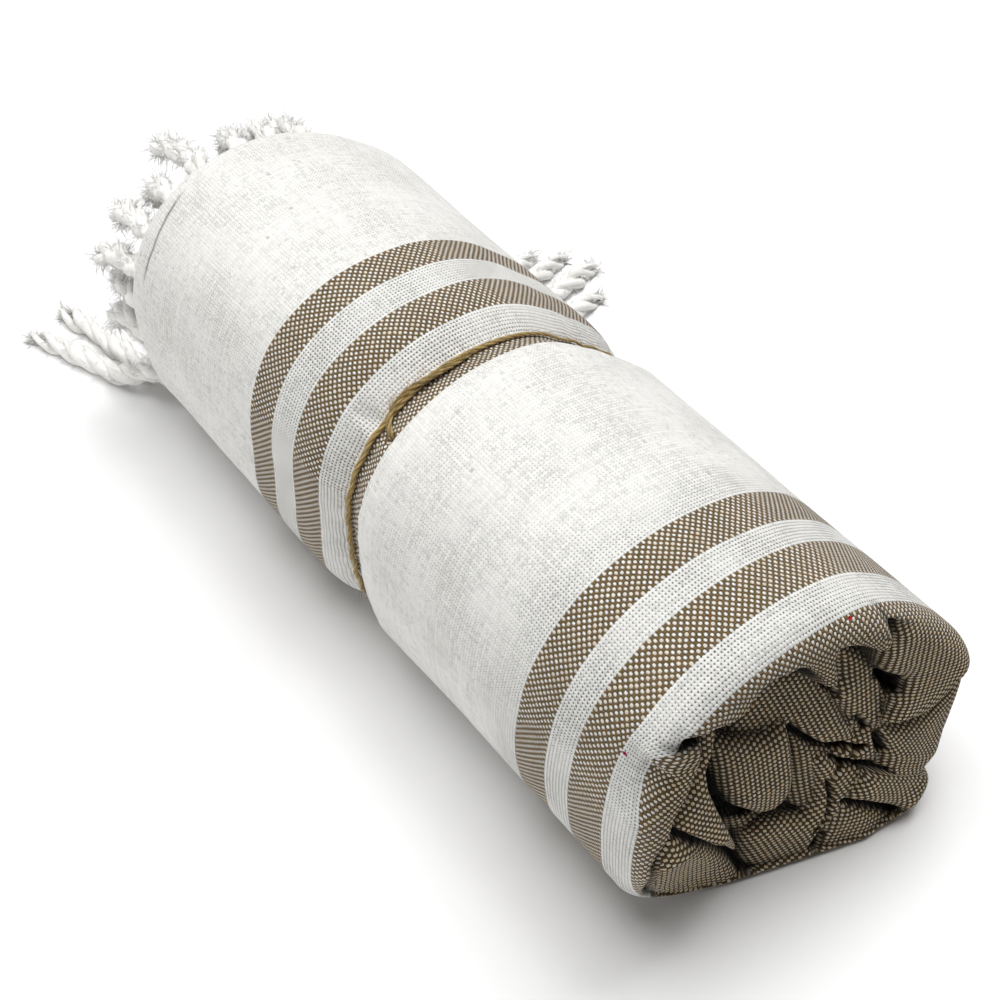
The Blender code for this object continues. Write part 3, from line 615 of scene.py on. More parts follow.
def striped_cotton():
    """Plain weave: cream cross threads over and under stripe threads of cream or taupe, with painted shade
    in its gaps and hollows.
    """
    made, shader, tree = new_finish("striped_cotton", roughness=0.9, sheen=0.08, specular=0.08)
    # the attribute carries thread numbers and the painted shade of the ends
    around, along, shaded = tree.attribute("threads").split()

    def within(bands):
        inside = 0.0
        for first, last in bands:
            inside = inside + (along > first) * (along < last)
        return inside

    # where on which thread a place is, with hand-loom unevenness
    wander = tree.noise(tree.joined(around * 0.11, along * 0.11, 0.0), 1.0, 2.0) - 0.5
    shiver = tree.noise(tree.joined(around * 0.7, along * 0.7, 6.0), 1.0, 1.0) - 0.5
    around = around + wander * 0.6 + shiver * 0.35
    along = along + shiver * 0.3
    cross_no, stripe_no = [tree.maths("FLOOR", count) for count in (around, along)]
    wave_around, wave_along = [tree.maths("SINE", count * math.pi) for count in (around, along)]
    stripe_over = (wave_around * wave_along) > 0.0
    ridge_cross, ridge_stripe = abs(wave_around), abs(wave_along)
    taupe = within(TAUPE_STRIPES)
    open_weave = within(OPEN_BANDS) + along.between(-60.0, -43.0) * (along < -42.0) * 0.75

    # luck for each crossing and each thread, and slow or long-drawn unevenness
    cell = tree.chance(tree.joined(cross_no, stripe_no, 0.0))
    stripe_luck = tree.chance(tree.joined(stripe_no, 7.0, 0.0))
    cross_luck = tree.chance(tree.joined(cross_no, 3.0, 5.0))
    patch = tree.noise(tree.joined(around * 0.05, along * 0.05, 0.0), 1.0, 3.0)
    slub = tree.noise(tree.joined(around * 0.16, along * 0.9, 0.0), 1.0, 2.0, 0.6)
    slub_cross = tree.noise(tree.joined(around * 0.9, along * 0.16, 4.0), 1.0, 2.0, 0.6)

    # the undyed threads, which show beige among the taupe ones at random, and more so on the near end's face
    # as painted shade
    greyed = [(thick + cell * 0.16 + patch * 0.35).between(0.66, 1.05) * 0.8 for thick in (slub, slub_cross)]
    cream_stripe, cream_cross = [share.mixed(CREAM, CREAM_GREY) for share in greyed]
    warm = (patch - 0.5).between(0.0, 0.35) * 0.35
    cream_stripe = warm.mixed(cream_stripe, CREAM_WARM)
    flecked = tree.chance(tree.joined(cross_no, stripe_no, 9.0)).between(0.993, 1.0) * 0.35
    cream_stripe = flecked.mixed(cream_stripe, FLECK)
    # the near end's face, whose colours carry painted shade and a slight painted lightening
    inner = along.between(1.0, 10.0)
    cream_cross = (taupe * (cell * 0.5 + inner * 0.5)).mixed(cream_cross, BEIGE)

    # the taupe threads
    dye = (slub * 0.9 + cell * 0.3).between(0.55, 0.95)
    rusty = (slub_cross + cell * 0.35).between(0.90, 1.03)
    yarn = dye.mixed(TAUPE, OLIVE)
    # painted shade: the taupe threads darker on the near end's face
    yarn = (inner * 0.8).mixed(yarn, TAUPE_PAINTED_SHADE)
    yarn = (rusty * 0.8).mixed(yarn, RUST)

    # what lies on top, with painted shade round each dash and in the holes between threads
    top = stripe_over.mixed(cream_cross, taupe.mixed(cream_stripe, yarn))
    cross_top = 1.0 - stripe_over
    dash = (ridge_cross + cell * 0.26 - 0.13).between(0.18, 0.58)
    dash = dash * (ridge_stripe + cell * 0.2 - 0.1).between(0.04, 0.32)
    edge = cross_top * (1.0 - dash) * taupe
    top = (edge * 0.92).mixed(top, TAUPE_DARK)
    reach = tree.maths("MAXIMUM", ridge_cross, ridge_stripe)
    worn = patch.between(0.35, 0.62)
    hole_size = 0.24 + worn * 0.18 + open_weave * 0.24 + taupe * 0.14
    hole = 1.0 - (reach / hole_size).between(0.65, 1.15)
    hole_colour = open_weave.mixed(CREAM_DARK, OPEN_DARK)
    hole_colour = taupe.mixed(hole_colour, TAUPE_DARK)
    top = hole.mixed(top, hole_colour)
    for tuft_around, tuft_along, wide, high, colour in STRAY_TUFTS:
        off = abs((around - tuft_around) / wide) + abs((along - tuft_along) / high)
        top = (off < 1.0).mixed(top, colour)

    # the hem's crease, as a dent and a painted shade line, the painted shade of hemmed-in places, and the
    # near end's face painted a little lighter
    (first, last), (fade_in, fade_out) = HEM_FOLD_SPAN, HEM_FOLD_FADES
    shown = around.between(first, first + fade_in) * (1.0 - around.between(last - fade_out, last))
    drift = tree.maths("MAXIMUM", HEM_SLANT_BELOW - around, 0.0) * HEM_SLANT
    hem_fold = (1.0 - abs(along - HEM_FOLD + drift).between(0.1, 0.65)) * shown
    shade = (0.94 + (cross_luck + stripe_luck) * 0.05) * (1.0 - shaded.between(0.03, 0.52) * 0.95)
    shade = shade * (1.0 - hem_fold * 0.5) * (1.0 + inner * 0.06)
    top = tree.add("ShaderNodeMix", {"data_type": "RGBA", "blend_type": "MULTIPLY"},
                   {0: 1.0, 6: top, 7: tree.joined(shade, shade, shade)}, 2)
    plug(shader, "Base Color", top)

    # each thread's own roundness
    stripe_height = (ridge_stripe ** 0.7) * (ridge_cross ** 0.35)
    cross_height = (ridge_cross ** 0.7) * (ridge_stripe ** 0.35)
    height = stripe_height * stripe_over + cross_height * cross_top
    lint = tree.noise(tree.joined(around * 1.3, along * 1.3, 2.0), 3.0, 2.0)
    height = height * (0.19 + open_weave * 0.5 + taupe * 0.75) + lint * 0.25 - hem_fold * 1.2
    relief = {"Strength": 1.0, "Distance": THREAD_RELIEF, "Height": height}
    plug(shader, "Normal", tree.add("ShaderNodeBump", {}, relief))
    return made


cotton_cloth = striped_cotton()

columns = SEAM_ANGLE + np.arange(COLUMNS + 1) * 2 * np.pi / COLUMNS
ring_ways = np.stack([np.cos(columns), np.sin(columns)], axis=-1)
arc = reach_along(plain_radius(columns)[:, None] * ring_ways)
threads_round = THREADS_ROUND * arc / arc[-1]
CROSS_PITCH = arc[-1] / THREADS_ROUND


def stripe_thread(x):
    """The number of the stripe thread at a distance along the cloth."""
    beyond = np.minimum(x / MM - THREADS[0][0], 0) * MM
    return table(THREADS, x / MM) + beyond / STRIPE_PITCH


def stripe_shift(theta, x):
    """The stripes are drawn back at the near end's pinched corner and low on the far half."""
    low = bump(angle_from(theta, SLANT_ANGLE), SLANT_SPREAD)
    beyond_tie = np.clip((SLANT_FROM - x) / SLANT_RAMP, 0, 1)
    return PINCH_DRAW * pinch_share(theta, x, PINCH_DRAW_EDGE) + SLANT * low * beyond_tie


def half_stations(sign):
    """x of the rings from the tie to shortly before the end, finer in the groove."""
    groove = np.arange(0, GROOVE_END, GROOVE_STEP)
    length = (-SIDE_END - TIE_X) if sign > 0 else (TIE_X - FAR_END_X - SIDE_END)
    plain = np.linspace(GROOVE_END, length, int((length - GROOVE_END) / SIDE_STEP))
    return TIE_X + sign * np.concatenate([groove, plain])


def half_cloth(sign, relief, rim_table):
    """The cloth from the tie to one end, with the end's folds; sign is +1 for the near end."""
    theta = columns
    cos, sin = ring_ways.T
    # each ring carries its thread numbers and the painted shade of its end
    rings, stripe, shade = [], [], []

    def add_ring(x, y, z, run, shaded=0.0):
        rings.append(np.stack([np.broadcast_to(x, theta.shape), y, z], -1))
        stripe.append(stripe_thread(run + stripe_shift(theta, run)))
        shade.append(np.broadcast_to(shaded, theta.shape))

    def side_ring(x):
        radius = side_radius(theta, x)
        add_ring(x, *on_floor(radius * cos, radius * sin), x)

    tuck = side_radius(theta, TIE_X) - OVERLAP_DEPTH
    add_ring(TIE_X - sign * OVERLAP, tuck * cos, tuck * sin, TIE_X)
    stations = half_stations(sign)
    for x in stations:
        side_ring(x)
    edge = side_radius(theta, 0.0 if sign > 0 else FAR_END_X)
    edge_y, edge_z = on_floor(edge * cos, edge * sin)
    full = np.hypot(edge_y, edge_z)
    rim = table(rim_table, np.degrees(theta) % 360) * MM
    start = relief.at(edge_y, edge_z)[0] - sign * rim
    for share in np.linspace(0, 1, SHOULDER_RINGS + 2)[1:-1]:
        side_ring(stations[-1] + (start - stations[-1]) * share)
    first_end_ring = len(rings)
    for turn in np.radians(np.linspace(0, 90, RIM_RINGS)):
        scale = 1 - rim * (1 - math.cos(turn)) / full
        y, z = edge_y * scale, edge_z * scale
        x, shaded = relief.at(y, z)
        x = x - sign * rim * (1 - math.sin(turn))
        add_ring(x, y, z, start + sign * rim * turn, shaded * math.sin(turn))
    for share in np.linspace(1, 0, END_RINGS + 1)[1:-1]:
        scale = (1 - rim / full) * share
        y, z = edge_y * scale, edge_z * scale
        run = rim * math.pi / 2 + full * (1 - scale) - rim
        x, shaded = relief.at(y, z)
        add_ring(x, y, z, start + sign * run, shaded)
    centre = (relief.at(np.zeros(1), np.zeros(1))[0][0], 0, 0)
    rings = np.array(rings)
    cross = np.broadcast_to(threads_round, rings.shape[:2])
    return rings, centre, cross, np.array(stripe), np.array(shade), first_end_ring


def quads_of(rings_count, sign):
    """Ring and column numbers of the corners of the quads between rings, seen from outside."""
    ring, column = np.meshgrid(np.arange(rings_count - 1), np.arange(COLUMNS), indexing="ij")
    ring = np.stack([ring, ring, ring + 1, ring + 1], axis=-1).reshape(-1, 4)
    column = np.stack([column, column + 1, column + 1, column], axis=-1).reshape(-1, 4)
    order = [0, 1, 2, 3] if sign > 0 else [0, 3, 2, 1]
    return ring[:, order], column[:, order]


def cloth_piece(name, sign, relief, rim_table, frames_of):
    """Makes one half of the cloth as a mesh whose corners carry their thread numbers and their painted
    shade.
    """
    rings, centre, cross, stripe, shade, first_end = half_cloth(sign, relief, rim_table)
    ring, column = quads_of(len(rings), sign)
    middle = rings[ring, column].mean(axis=1)
    cross_at, stripe_at = frames_of(rings, cross, stripe, first_end, ring, column, middle)
    points = np.vstack([rings[:, :-1].reshape(-1, 3), centre])
    quads = ring * COLUMNS + column % COLUMNS
    rim = (len(rings) - 1) * COLUMNS + np.arange(COLUMNS)
    fan_ring = rim if sign > 0 else rim[::-1]
    # the third number at each corner is the painted shade
    values = np.stack([cross_at, stripe_at, shade[ring, column]], -1).reshape(-1, 3)
    fan = np.tile([[FOLD_THREADS + 3.0, FOLD_THREADS + 3.0, 0.0]], (3 * COLUMNS, 1))
    values = np.vstack([values, fan])
    made = add_mesh(name, points, quads, [(len(points) - 1, fan_ring)], cotton_cloth, "threads", values,
                    solid="towel_roll")


def near_frames(rings, cross, stripe, first_end, ring, column, middle):
    """Thread numbers at each quad's corners: the side's own, or those of the fold it is on."""
    cross_at, stripe_at = cross[ring, column], stripe[ring, column]
    flat_from = first_end + RIM_RINGS - 1
    on_face = ring[:, 0] >= flat_from
    on_rim = (ring[:, 0] >= first_end) & ~on_face
    rim_y, rim_z = rings[flat_from, :, 1:].T
    owner = np.full(len(ring), -1)
    owner[on_face] = fold_heights(middle[on_face, 1], middle[on_face, 2]).argmax(axis=0)
    rim_owner = fold_heights(rim_y, rim_z).argmax(axis=0)
    names = [fold[0] for fold in FRONT_FOLDS]
    by_foot = (rim_owner == names.index("foot_left")) & (angle_from(columns, FOOT_FROM) < 0)
    rim_owner[by_foot] = names.index("outer_left")
    owner[on_rim] = rim_owner[column[on_rim, 0]]
    face_y, face_z = rings[first_end:, :, 1:].transpose(2, 0, 1).copy()
    steps = np.linalg.norm(np.diff(rings[first_end:flat_from + 1], axis=0), axis=-1)
    unrolled = np.cumsum(steps[::-1], axis=0)[::-1] / np.hypot(rim_y, rim_z)
    face_y[:RIM_RINGS - 1] = rim_y * (1 + unrolled)
    face_z[:RIM_RINGS - 1] = rim_z * (1 + unrolled)
    for number, (name, _, _, (way_y, way_z), outline) in enumerate(FRONT_FOLDS):
        mine = (owner == number) & (on_face | (name not in RIM_SPANS))
        if not mine.any():
            continue

        def turned(y, z):
            """The same places, across and along the fold's cross threads."""
            return z * way_y - y * way_z, y * way_y + z * way_z

        depth, _, inward = fold_shape(outline, face_y, face_z)
        at_y, at_z = face_y - inward[0] * nose_excess(depth), face_z - inward[1] * nose_excess(depth)
        sideways, along = [place * COARSER.get(name, 1.0) for place in turned(at_y, at_z)]
        if name in RIM_SPANS:
            first, last = np.radians(RIM_SPANS[name])
            spread = np.flatnonzero((columns - first) % (2 * np.pi) <= last - first)
            spread = spread[np.argsort(turned(rim_y, rim_z)[0][spread])]
            rim_side, rim_along = [place[spread] for place in turned(rim_y, rim_z)]
            whole = cross[flat_from][spread]
            whole = whole - THREADS_ROUND * np.round((whole - np.median(whole)) / THREADS_ROUND)
            trend = math.copysign(1, whole[-1] - whole[0])
            over = sideways - np.clip(sideways, rim_side[0], rim_side[-1])
            cross_no = np.interp(sideways, rim_side, whole) + trend * over / CROSS_PITCH
            inset = along - np.interp(sideways, rim_side, rim_along)
            stripe_no = np.interp(sideways, rim_side, stripe[flat_from][spread]) + inset / STRIPE_PITCH
        else:
            cross_no = FOLD_APART * (number + 5) + sideways / CROSS_PITCH
            stripe_no = FOLD_THREADS + FOLD_APART * number + along / STRIPE_PITCH
        row, col = ring[mine] - first_end, column[mine]
        cross_at[mine], stripe_at[mine] = cross_no[row, col], stripe_no[row, col]
    return cross_at, stripe_at


def far_frames(rings, cross, stripe, first_end, ring, column, middle):
    """Thread numbers at each quad's corners; the inner turns show other parts of the cloth."""
    cross_at, stripe_at = cross[ring, column], stripe[ring, column]
    theta = np.arctan2(middle[:, 2], middle[:, 1])
    share = np.hypot(middle[:, 1], middle[:, 2]) / section_radius(theta)
    at_end = ring[:, 0] >= first_end
    for turn in range(TURNS):
        inner = at_end & (share < crease_share(theta, turn))
        stripe_at[inner] = stripe[ring, column][inner] + INNER_SHIFT + TURN_SHIFT * turn
    return cross_at, stripe_at


cloth_piece("towel_near_half", 1, Relief(front_height, 1, PAINTED_HOLLOW_SHADOWS), FRONT_RIM, near_frames)
far_relief = Relief(far_height, -1)
cloth_piece("towel_far_half", -1, far_relief, FAR_RIM, far_frames)

# ----------------------------------------------------------------------
# The tie. A thin natural jute twine of three plies, drawn tight round the roll so that it
# sinks into the cloth. Its end is laid beside it, crosses over it and is tucked in under it.
# ----------------------------------------------------------------------

TWINE_GAP, TWINE_PITCH, CLEAR_OF_FLOOR = 0.3 * MM, 8.5 * MM, 0.05 * MM
TWINE_RADIUS = (  # angle round the roll in degrees, radius of the twine in mm
    (-180, 0.66), (-120, 0.56), (-20, 0.42), (50, 0.40), (80, 0.50), (98, 0.68), (118, 0.76),
    (150, 0.70), (180, 0.66),
)
TUCKED_END = (  # angle in degrees, offset towards the near end and lift off the main strand in mm
    (97, 0.1, -0.3), (101, 0.8, 0.1), (108, 1.0, 0.6), (114, 0.4, 1.05), (120, -0.5, 1.0),
    (125, -0.4, 0.9), (128, 0.6, 0.9), (130.5, 2.0, 0.6), (132.2, 3.4, -0.2), (132.9, 4.3, -2.4),
)
END_THINNER = 0.92  # thickness of the tucked end against the ring's
PLIES_PART = 10.0  # plies that open are twice as far apart a tenth of the length further on
LOOSE_FIBRES, ON_END = 420, 0.35  # and the share of them on the tucked end
FIBRE_LENGTHS, FIBRE_RADIUS, FIBRE_RELIEF = (1.5, 5), 0.045 * MM, 0.2 * MM  # lengths in mm


def unit(vectors):
    return vectors / np.maximum(np.linalg.norm(vectors, axis=-1, keepdims=True), 1e-12)


def frames_along(route, side=None):
    """Two directions square to a route at each of its points; side fixes the first one."""
    along = unit(np.gradient(route, axis=0))
    if side is None:
        side = np.empty_like(route)
        side[0] = np.cross(along[0], (0.31, 0.17, 0.93))
        for k in range(1, len(route)):
            side[k] = side[k - 1] - along[k] * (side[k - 1] @ along[k])
            side[k] /= np.linalg.norm(side[k])
    side = unit(side - along * np.sum(side * along, axis=-1, keepdims=True))
    return side, np.cross(along, side)


def tube(route, radii, sides, side=None):
    """A tube's points and quads, and at their corners the share of a turn and the length in mm."""
    first, second = frames_along(route, side)
    turn = 2 * np.pi * np.arange(sides) / sides
    ring = np.cos(turn)[None, :, None] * first[:, None] + np.sin(turn)[None, :, None] * second[:, None]
    radii = np.broadcast_to(radii, len(route))
    points = route[:, None] + ring * radii[:, None, None]
    k, j = np.meshgrid(np.arange(len(route) - 1), np.arange(sides), indexing="ij")
    k, j = k.ravel(), j.ravel()
    after = (j + 1) % sides
    near, far = k * sides, (k + 1) * sides
    quads = np.stack([near + j, near + after, far + after, far + j], axis=-1)
    reach = reach_along(route) / MM
    share = np.stack([j, j + 1, j + 1, j], axis=-1) / sides
    length = np.stack([reach[k], reach[k], reach[k + 1], reach[k + 1]], axis=-1)
    return points.reshape(-1, 3), quads, share, length


def tubes_piece(name, tubes, finish, solid):
    """One mesh of many tubes with closed ends, all clear of the floor."""
    points, quads, values, fans, fan_values, centres = [], [], [], [], [], []
    total = sum(len(made[0]) for made in tubes)
    count = 0
    for number, (tube_points, tube_quads, share, length) in enumerate(tubes):
        luck = np.full(share.shape, (number * 0.618034) % 1)
        points.append(tube_points)
        quads.append(tube_quads + count)
        values.append(np.stack([share, length, luck], axis=-1).reshape(-1, 3))
        sides = int(tube_quads[0, 3])
        for start, step in ((0, -1), (len(tube_points) - sides, 1)):
            ring = count + start + np.arange(sides)
            centres.append(tube_points[start:start + sides].mean(axis=0))
            fans.append((total + len(centres) - 1, ring[::step]))
            fan_values.append(np.full((3 * sides, 3), (0.5, 0.0, luck[0, 0])))
        count += len(tube_points)
    points = np.vstack(points + centres)
    points[:, 2] = np.maximum(points[:, 2], FLOOR_Z + CLEAR_OF_FLOOR)
    values = np.vstack(values + fan_values)
    add_mesh(name, points, np.vstack(quads), fans, finish, "yarn", values, solid)


def twisted(route, radii, plies, pitch, sides, side=None, phase=0.0, open_from=2.0, fullness=1.12):
    """The plies of a cord along a route; they part at the share open_from of its length."""
    first, second = frames_along(route, side)
    reach = reach_along(route)
    ply = np.broadcast_to(radii, len(route)) / (1 + 1 / math.sin(math.pi / plies))
    apart = (radii - ply) * (1 + PLIES_PART * np.clip(reach / reach[-1] - open_from, 0, 1))
    made = []
    for k in range(plies):
        turn = 2 * np.pi * (reach / pitch + k / plies) + phase
        centre = route + apart[:, None] * (np.cos(turn)[:, None] * first + np.sin(turn)[:, None] * second)
        made.append(tube(centre, ply * fullness, sides))
    return made


def hair(start, way, length, radius, luck, bend):
    """A fine fibre that leaves start along way and curls."""
    curl = unit(np.cross(way, luck.normal(size=3)))
    steps = np.linspace(0, 1, 5)[:, None]
    route = start + length * (steps * way + bend * steps ** 2 * curl)
    return tube(route, radius * np.array([1, 1, 0.9, 0.7, 0.3]), 3)


def ring_place(degrees, aside, lift):
    """Points beside the groove's bottom at angles round the roll, and the outward way there."""
    theta = np.radians(degrees)
    radius = side_radius(theta, np.full(theta.shape, TIE_X))
    y, z = on_floor(radius * np.cos(theta), radius * np.sin(theta))
    out = np.stack([np.zeros(theta.shape), np.cos(theta), np.sin(theta)], axis=-1)
    return np.stack(np.broadcast_arrays(TIE_X + aside, y, z), axis=-1) + out * lift[:, None], out


def fibrous(name, colours, dark, roughness, fuzz):
    """Yarn or twine: streaks along the fibres, with painted shade between them."""
    made, shader, tree = new_finish(name, roughness=roughness, sheen=fuzz)
    share, length, luck = tree.attribute("yarn").split()
    across = tree.joined(share * 9.0 + luck * 40.0, length * 0.55, luck * 11.0)
    streak = tree.noise(across, 1.0, 3.0, 0.65)
    slow = tree.noise(tree.joined(luck * 17.0, length * 0.12, 3.0), 1.0, 2.0)
    colour = streak.between(0.3, 0.7).mixed(colours[0], colours[1])
    colour = (slow.between(0.42, 0.75) * 0.7).mixed(colour, colours[2])
    # painted shade between the fibres
    colour = (1.0 - streak.between(0.22, 0.42)).mixed(colour, dark)
    plug(shader, "Base Color", colour)
    relief = {"Strength": 0.9, "Distance": FIBRE_RELIEF, "Height": streak}
    plug(shader, "Normal", tree.add("ShaderNodeBump", {}, relief))
    return made


jute_twine = fibrous(
    "jute_twine", ((0.38, 0.26, 0.085), (0.58, 0.44, 0.19), (0.34, 0.18, 0.055)), (0.17, 0.10, 0.03),
    roughness=0.8, fuzz=0.3,
)
luck = np.random.default_rng(5)
angles = np.linspace(-180, 180, 721)
twine_radius = table(TWINE_RADIUS, angles) * MM
ring_route, ring_out = ring_place(angles, 0, TWINE_GAP + twine_radius)
ring_length = reach_along(ring_route)[-1]
whole_pitch = ring_length / round(ring_length / TWINE_PITCH)
twine = twisted(ring_route, twine_radius, 3, whole_pitch, 10, side=ring_out)
end_angle, end_aside, end_lift = smooth_line(TUCKED_END, 120).T
end_radius = table(TWINE_RADIUS, end_angle) * MM * END_THINNER
end_route, end_out = ring_place(end_angle, end_aside * MM, TWINE_GAP + end_radius + end_lift * MM)
twine += twisted(end_route, end_radius, 3, TWINE_PITCH, 10, side=end_out, phase=1.3)
for _ in range(LOOSE_FIBRES):
    on_end = luck.random() < ON_END
    route, out = (end_route, end_out) if on_end else (ring_route, ring_out)
    k = luck.integers(2, len(route) - 2)
    way = unit(route[k + 1] - route[k]) * luck.choice((-1, 1))
    way = unit(way + out[k] * luck.uniform(0.1, 0.5) + np.array((1, 0, 0)) * luck.normal() * 0.35)
    start = route[k] + out[k] * 0.5 * MM
    twine.append(hair(start, way, luck.uniform(*FIBRE_LENGTHS) * MM, FIBRE_RADIUS, luck, 0.3))
tubes_piece("tie_twine", twine, jute_twine, solid="tie")

# ----------------------------------------------------------------------
# The fringe. The ends of the cotton threads, twisted by hand into thick soft tassels that
# hang from the hem. Those of the outer turns stand out of the far end, and those at its
# lower corner and at the roll's back lie on the table.
# ----------------------------------------------------------------------

HEM_WIDTH, HEM_RADIUS, HEM_TWIST, HEM_GAP = 2 * MM, 0.95 * MM, 4 * MM, 0.3 * MM
TASSEL_RADII = (  # share of the length, radius in mm
    (0, 2.0), (0.06, 2.3), (0.14, 3.3), (0.24, 2.6), (0.5, 3.1), (0.85, 2.6), (1, 0.8),
)
AIR_REACH, AIR_DROP, AIR_SWAY = 20 * MM, 9 * MM, 4 * MM
AIR_STOPS = ((0.5, 0.3, 0.1), (0.85, 0.7, 0.5), (1, 1, 1))  # shares of the reach, sway and drop
AIR_SHORTER = 0.55  # how much shorter the tassels get towards the top
AIR_ROWS = (  # row, turn of the roll, where it starts and ends in degrees, tassels
    ("outer", 0, 199, 56, 9), ("inner", 1, 232, 88, 6),
)
CORNER_ANGLES = (240, 206)  # in degrees
CORNER_TIPS = ((-267, -28), (-276, -44), (-272, -57))  # x, y in mm
BACK_ENDS = (-200 * MM, -162 * MM)  # x of the ends of the row behind the roll
BACK_TIPS = ((-203, 91), (-197, 99), (-187, 104), (-175, 96))  # x, y in mm
FLOOR_STOPS = (  # share of the way to the tip, outward in mm, share of the fall
    (0, 1, 0), (0, 6, 0.15), (0.35, 4, 0.8), (0.62, 3, 1), (1, 0, 1),
)
FLOOR_POINTS = 24  # on the middle line of a tassel that lies on the floor
TASSEL_PITCH, TASSEL_STEP = 24 * MM, 0.75 * MM
HAIRS_EACH, HAIR_LENGTHS, HAIR_RADII = 270, (1.2, 3.6), (0.05, 0.12)  # in mm
TIP_THREADS, TIP_LENGTHS, TIP_RADII = 60, (2, 5), (0.07, 0.15)  # in mm


def turn_crest(turn, degrees):
    """Middle line of the hem, along the crest of a turn of the far end."""
    theta = np.radians(degrees)
    outer = crease_share(theta, turn - 1) if turn else 1.0
    radius = section_radius(theta) * (outer + crease_share(theta, turn)) / 2
    y, z = radius * np.cos(theta), radius * np.sin(theta)
    edge = section_radius(theta) - radius
    x = far_relief.at(y, z)[0] - rounded(edge, FAR_RIM_RADIUS * MM, FAR_RIM_RADIUS * MM)
    return np.stack([x - HEM_RADIUS, y, z], axis=-1)


def tassel(route, luck):
    """Three soft plies twisted together, open at the tip, with loose hairs and thread ends."""
    steps = max(30, int(reach_along(route)[-1] / TASSEL_STEP))
    route = smooth_line(route, steps)
    share = np.linspace(0, 1, steps)
    radii = table(TASSEL_RADII, share) * MM
    radii = radii * (1 + 0.10 * np.sin(share * 19 + luck.uniform(0, 6)) + 0.06 * np.sin(share * 47))
    made = twisted(route, radii, 3, TASSEL_PITCH * luck.uniform(0.85, 1.15), 12,
                   phase=luck.uniform(0, 6), open_from=0.8, fullness=1.3)
    first, second = frames_along(route)

    def any_way_out(k):
        turn = luck.uniform(0, 2 * np.pi)
        return math.cos(turn) * first[k] + math.sin(turn) * second[k]

    for _ in range(HAIRS_EACH):
        k = luck.integers(2, steps - 1)
        out = any_way_out(k)
        way = unit(out * luck.uniform(0.3, 1.1) + unit(route[k] - route[k - 1]) * luck.uniform(-0.4, 1.0))
        thin = luck.uniform(*HAIR_RADII) * MM
        start = route[k] + out * radii[k] * 0.85
        made.append(hair(start, way, luck.uniform(*HAIR_LENGTHS) * MM, thin, luck, 0.9))
    along = unit(route[-1] - route[-3])
    for _ in range(TIP_THREADS):
        out = any_way_out(-1)
        start = route[-1] - along * luck.uniform(1, 5) * MM + out * luck.uniform(0, 1.8) * MM
        way = unit(along + out * luck.uniform(0.05, 0.9))
        thin = luck.uniform(*TIP_RADII) * MM
        made.append(hair(start, way, luck.uniform(*TIP_LENGTHS) * MM, thin, luck, 0.7))
    return made


def fringe_piece(place, spine, routes):
    """One row of tassels, with the twisted hem cord that they hang from."""
    tubes = twisted(smooth_line(spine, 6 * len(spine)), HEM_RADIUS, 2, HEM_TWIST, 8)
    for route in routes:
        tubes += tassel(route, luck)
    tubes_piece("yarn_" + place, tubes, cotton_yarn, solid="fringe_" + place)


def roots_on(spine):
    """Where the tassels leave a hem: the middle of every second of its pieces."""
    return (spine[1:-1:2] + spine[2:-1:2]) / 2


def floor_row(place, spine, outward, tips):
    """Tassels that leave the hem, come down to the floor and rest level on it."""
    half = table(TASSEL_RADII, np.linspace(0, 1, FLOOR_POINTS)) * MM
    outward = np.array(outward) * MM
    routes = []
    for root, tip in zip(roots_on(spine), tips):
        flat = np.array([tip[0] * MM - root[0], tip[1] * MM - root[1], 0])
        fall = np.array([0, 0, FLOOR_Z - root[2]])
        stops = [root + flat * way + outward * out + fall * down for way, out, down in FLOOR_STOPS]
        route = smooth_line(stops, FLOOR_POINTS)
        route[:, 2] = np.maximum(route[:, 2], FLOOR_Z + half)
        routes.append(route)
    fringe_piece(place, spine, routes)


cotton_yarn = fibrous(
    "cotton_yarn", ((0.88, 0.87, 0.84), (0.93, 0.92, 0.90), (0.87, 0.85, 0.79)), (0.76, 0.745, 0.70),
    roughness=0.9, fuzz=0.7,
)
luck = np.random.default_rng(11)
for place, turn, first, last, tassels in AIR_ROWS:
    spine = turn_crest(turn, np.linspace(first, last, 2 * tassels + 2))
    routes = []
    for number, root in enumerate(roots_on(spine)):
        sway = AIR_SWAY * math.sin(2.3 * number + turn)
        shorter = AIR_SHORTER * (number / tassels) ** 2
        reach = AIR_REACH * (1 + 0.25 * math.sin(2.6 * number + 0.6) - 0.3 * turn - shorter)
        drop = AIR_DROP * (1 + 0.5 * math.cos(1.9 * number + turn))
        stops = [(-reach * a, sway * b, -drop * c) for a, b, c in AIR_STOPS]
        routes.append(root + np.array([(1 * MM, 0, 0)] + stops))
    fringe_piece(place, spine, routes)

spine = turn_crest(0, np.linspace(*CORNER_ANGLES, 2 * len(CORNER_TIPS) + 2))
floor_row("corner", spine, (-1, 0, 0), CORNER_TIPS)

foot = np.radians(np.linspace(-70, 0, 281))
foot_radius = side_radius(foot, np.full(foot.shape, BACK_ENDS[0]))
foot_y, foot_z = on_floor(foot_radius * np.cos(foot), foot_radius * np.sin(foot))
hem_z = FLOOR_Z + HEM_WIDTH / 2 + HEM_GAP
hem_y = foot_y[np.abs(foot_z - hem_z) < HEM_WIDTH].max() + HEM_RADIUS
hem_x = np.linspace(*BACK_ENDS, 2 * len(BACK_TIPS) + 2)
spine = np.stack(np.broadcast_arrays(hem_x, hem_y, hem_z), axis=-1)
floor_row("back", spine, (0, 1, 0), BACK_TIPS)

# ----------------------------------------------------------------------
# The floor, the light and the camera. A plain pale tabletop stands for whatever the towel
# lies on. Three large soft lamps light it, two from above and one from the left.
# ----------------------------------------------------------------------

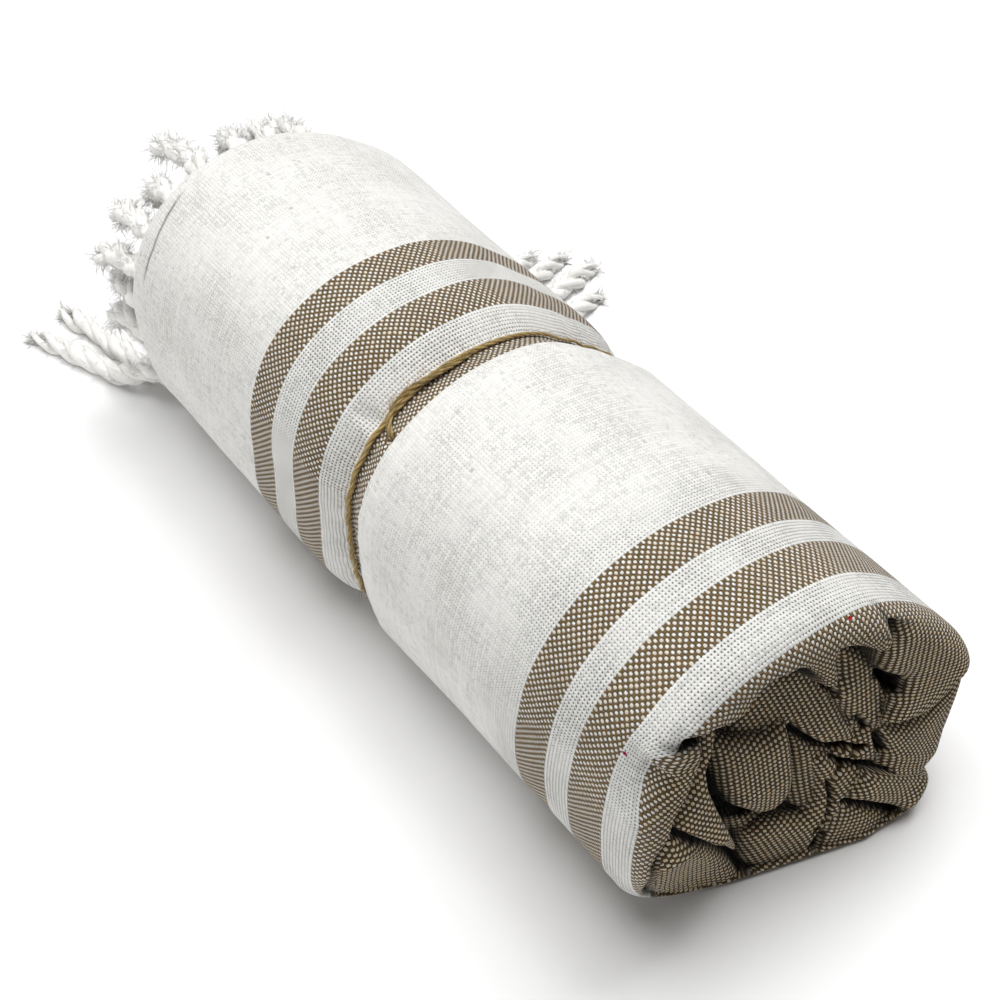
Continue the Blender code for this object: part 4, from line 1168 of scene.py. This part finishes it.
FLOOR_SIZE, FLOOR_GAP = 6.0, 0.0002
LAMP_AIM = (0.0, 0.0, 0.04)


def studio_floor():
    made, shader, _ = new_finish("pale_floor", roughness=0.75, sheen=0.0, specular=0.2)
    shader.inputs["Base Color"].default_value = (0.95, 0.95, 0.95, 1)
    half = FLOOR_SIZE / 2
    mesh = bpy.data.meshes.new("floor")
    corners = [(-half, -half, 0), (half, -half, 0), (half, half, 0), (-half, half, 0)]
    mesh.from_pydata(corners, [], [(0, 1, 2, 3)])
    mesh.materials.append(made)
    floor = placed("floor", mesh)
    floor.location.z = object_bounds()[0].z - FLOOR_GAP


def soft_lamp(name, place, size, power):
    light = bpy.data.lights.new(name, "AREA")
    light.shape = "DISK"
    light.size = size
    light.energy = power
    lamp = placed(name, light)
    lamp.location = place
    lamp.rotation_euler = (Vector(LAMP_AIM) - Vector(place)).to_track_quat("-Z", "Y").to_euler()


studio_floor()
soft_lamp("key_light", (-0.2, 0.6, 1.5), 0.9, 13.5)
soft_lamp("top_light", (-0.1, -0.1, 1.6), 1.2, 19)
soft_lamp("left_light", (-0.5, -1.5, 0.38), 0.7, 6.2)
world = bpy.data.worlds.new("studio")
world.use_nodes = True
world.node_tree.nodes["Background"].inputs["Color"].default_value = (1, 1, 1, 1)
world.node_tree.nodes["Background"].inputs["Strength"].default_value = 0.07
bpy.context.scene.world = world
bpy.context.scene.view_settings.view_transform = "Standard"

AZIMUTH, ELEVATION = math.radians(51.836), math.radians(49.464)
LENS, SENSOR = 59.82, 36.0
CAMERA_FROM_AXIS = Vector((0.11885, -0.17609, 0.32305))
camera_data = bpy.data.cameras.new("camera")
camera_data.lens, camera_data.sensor_width = LENS, SENSOR
camera_data.clip_start = 0.02
camera = placed("camera", camera_data)
back = Vector((math.sin(AZIMUTH) * math.cos(ELEVATION), -math.cos(AZIMUTH) * math.cos(ELEVATION),
               math.sin(ELEVATION)))
camera.location = AXIS + CAMERA_FROM_AXIS
camera.rotation_mode = "QUATERNION"
camera.rotation_quaternion = (-back).to_track_quat("-Z", "Y")
bpy.context.scene.camera = camera
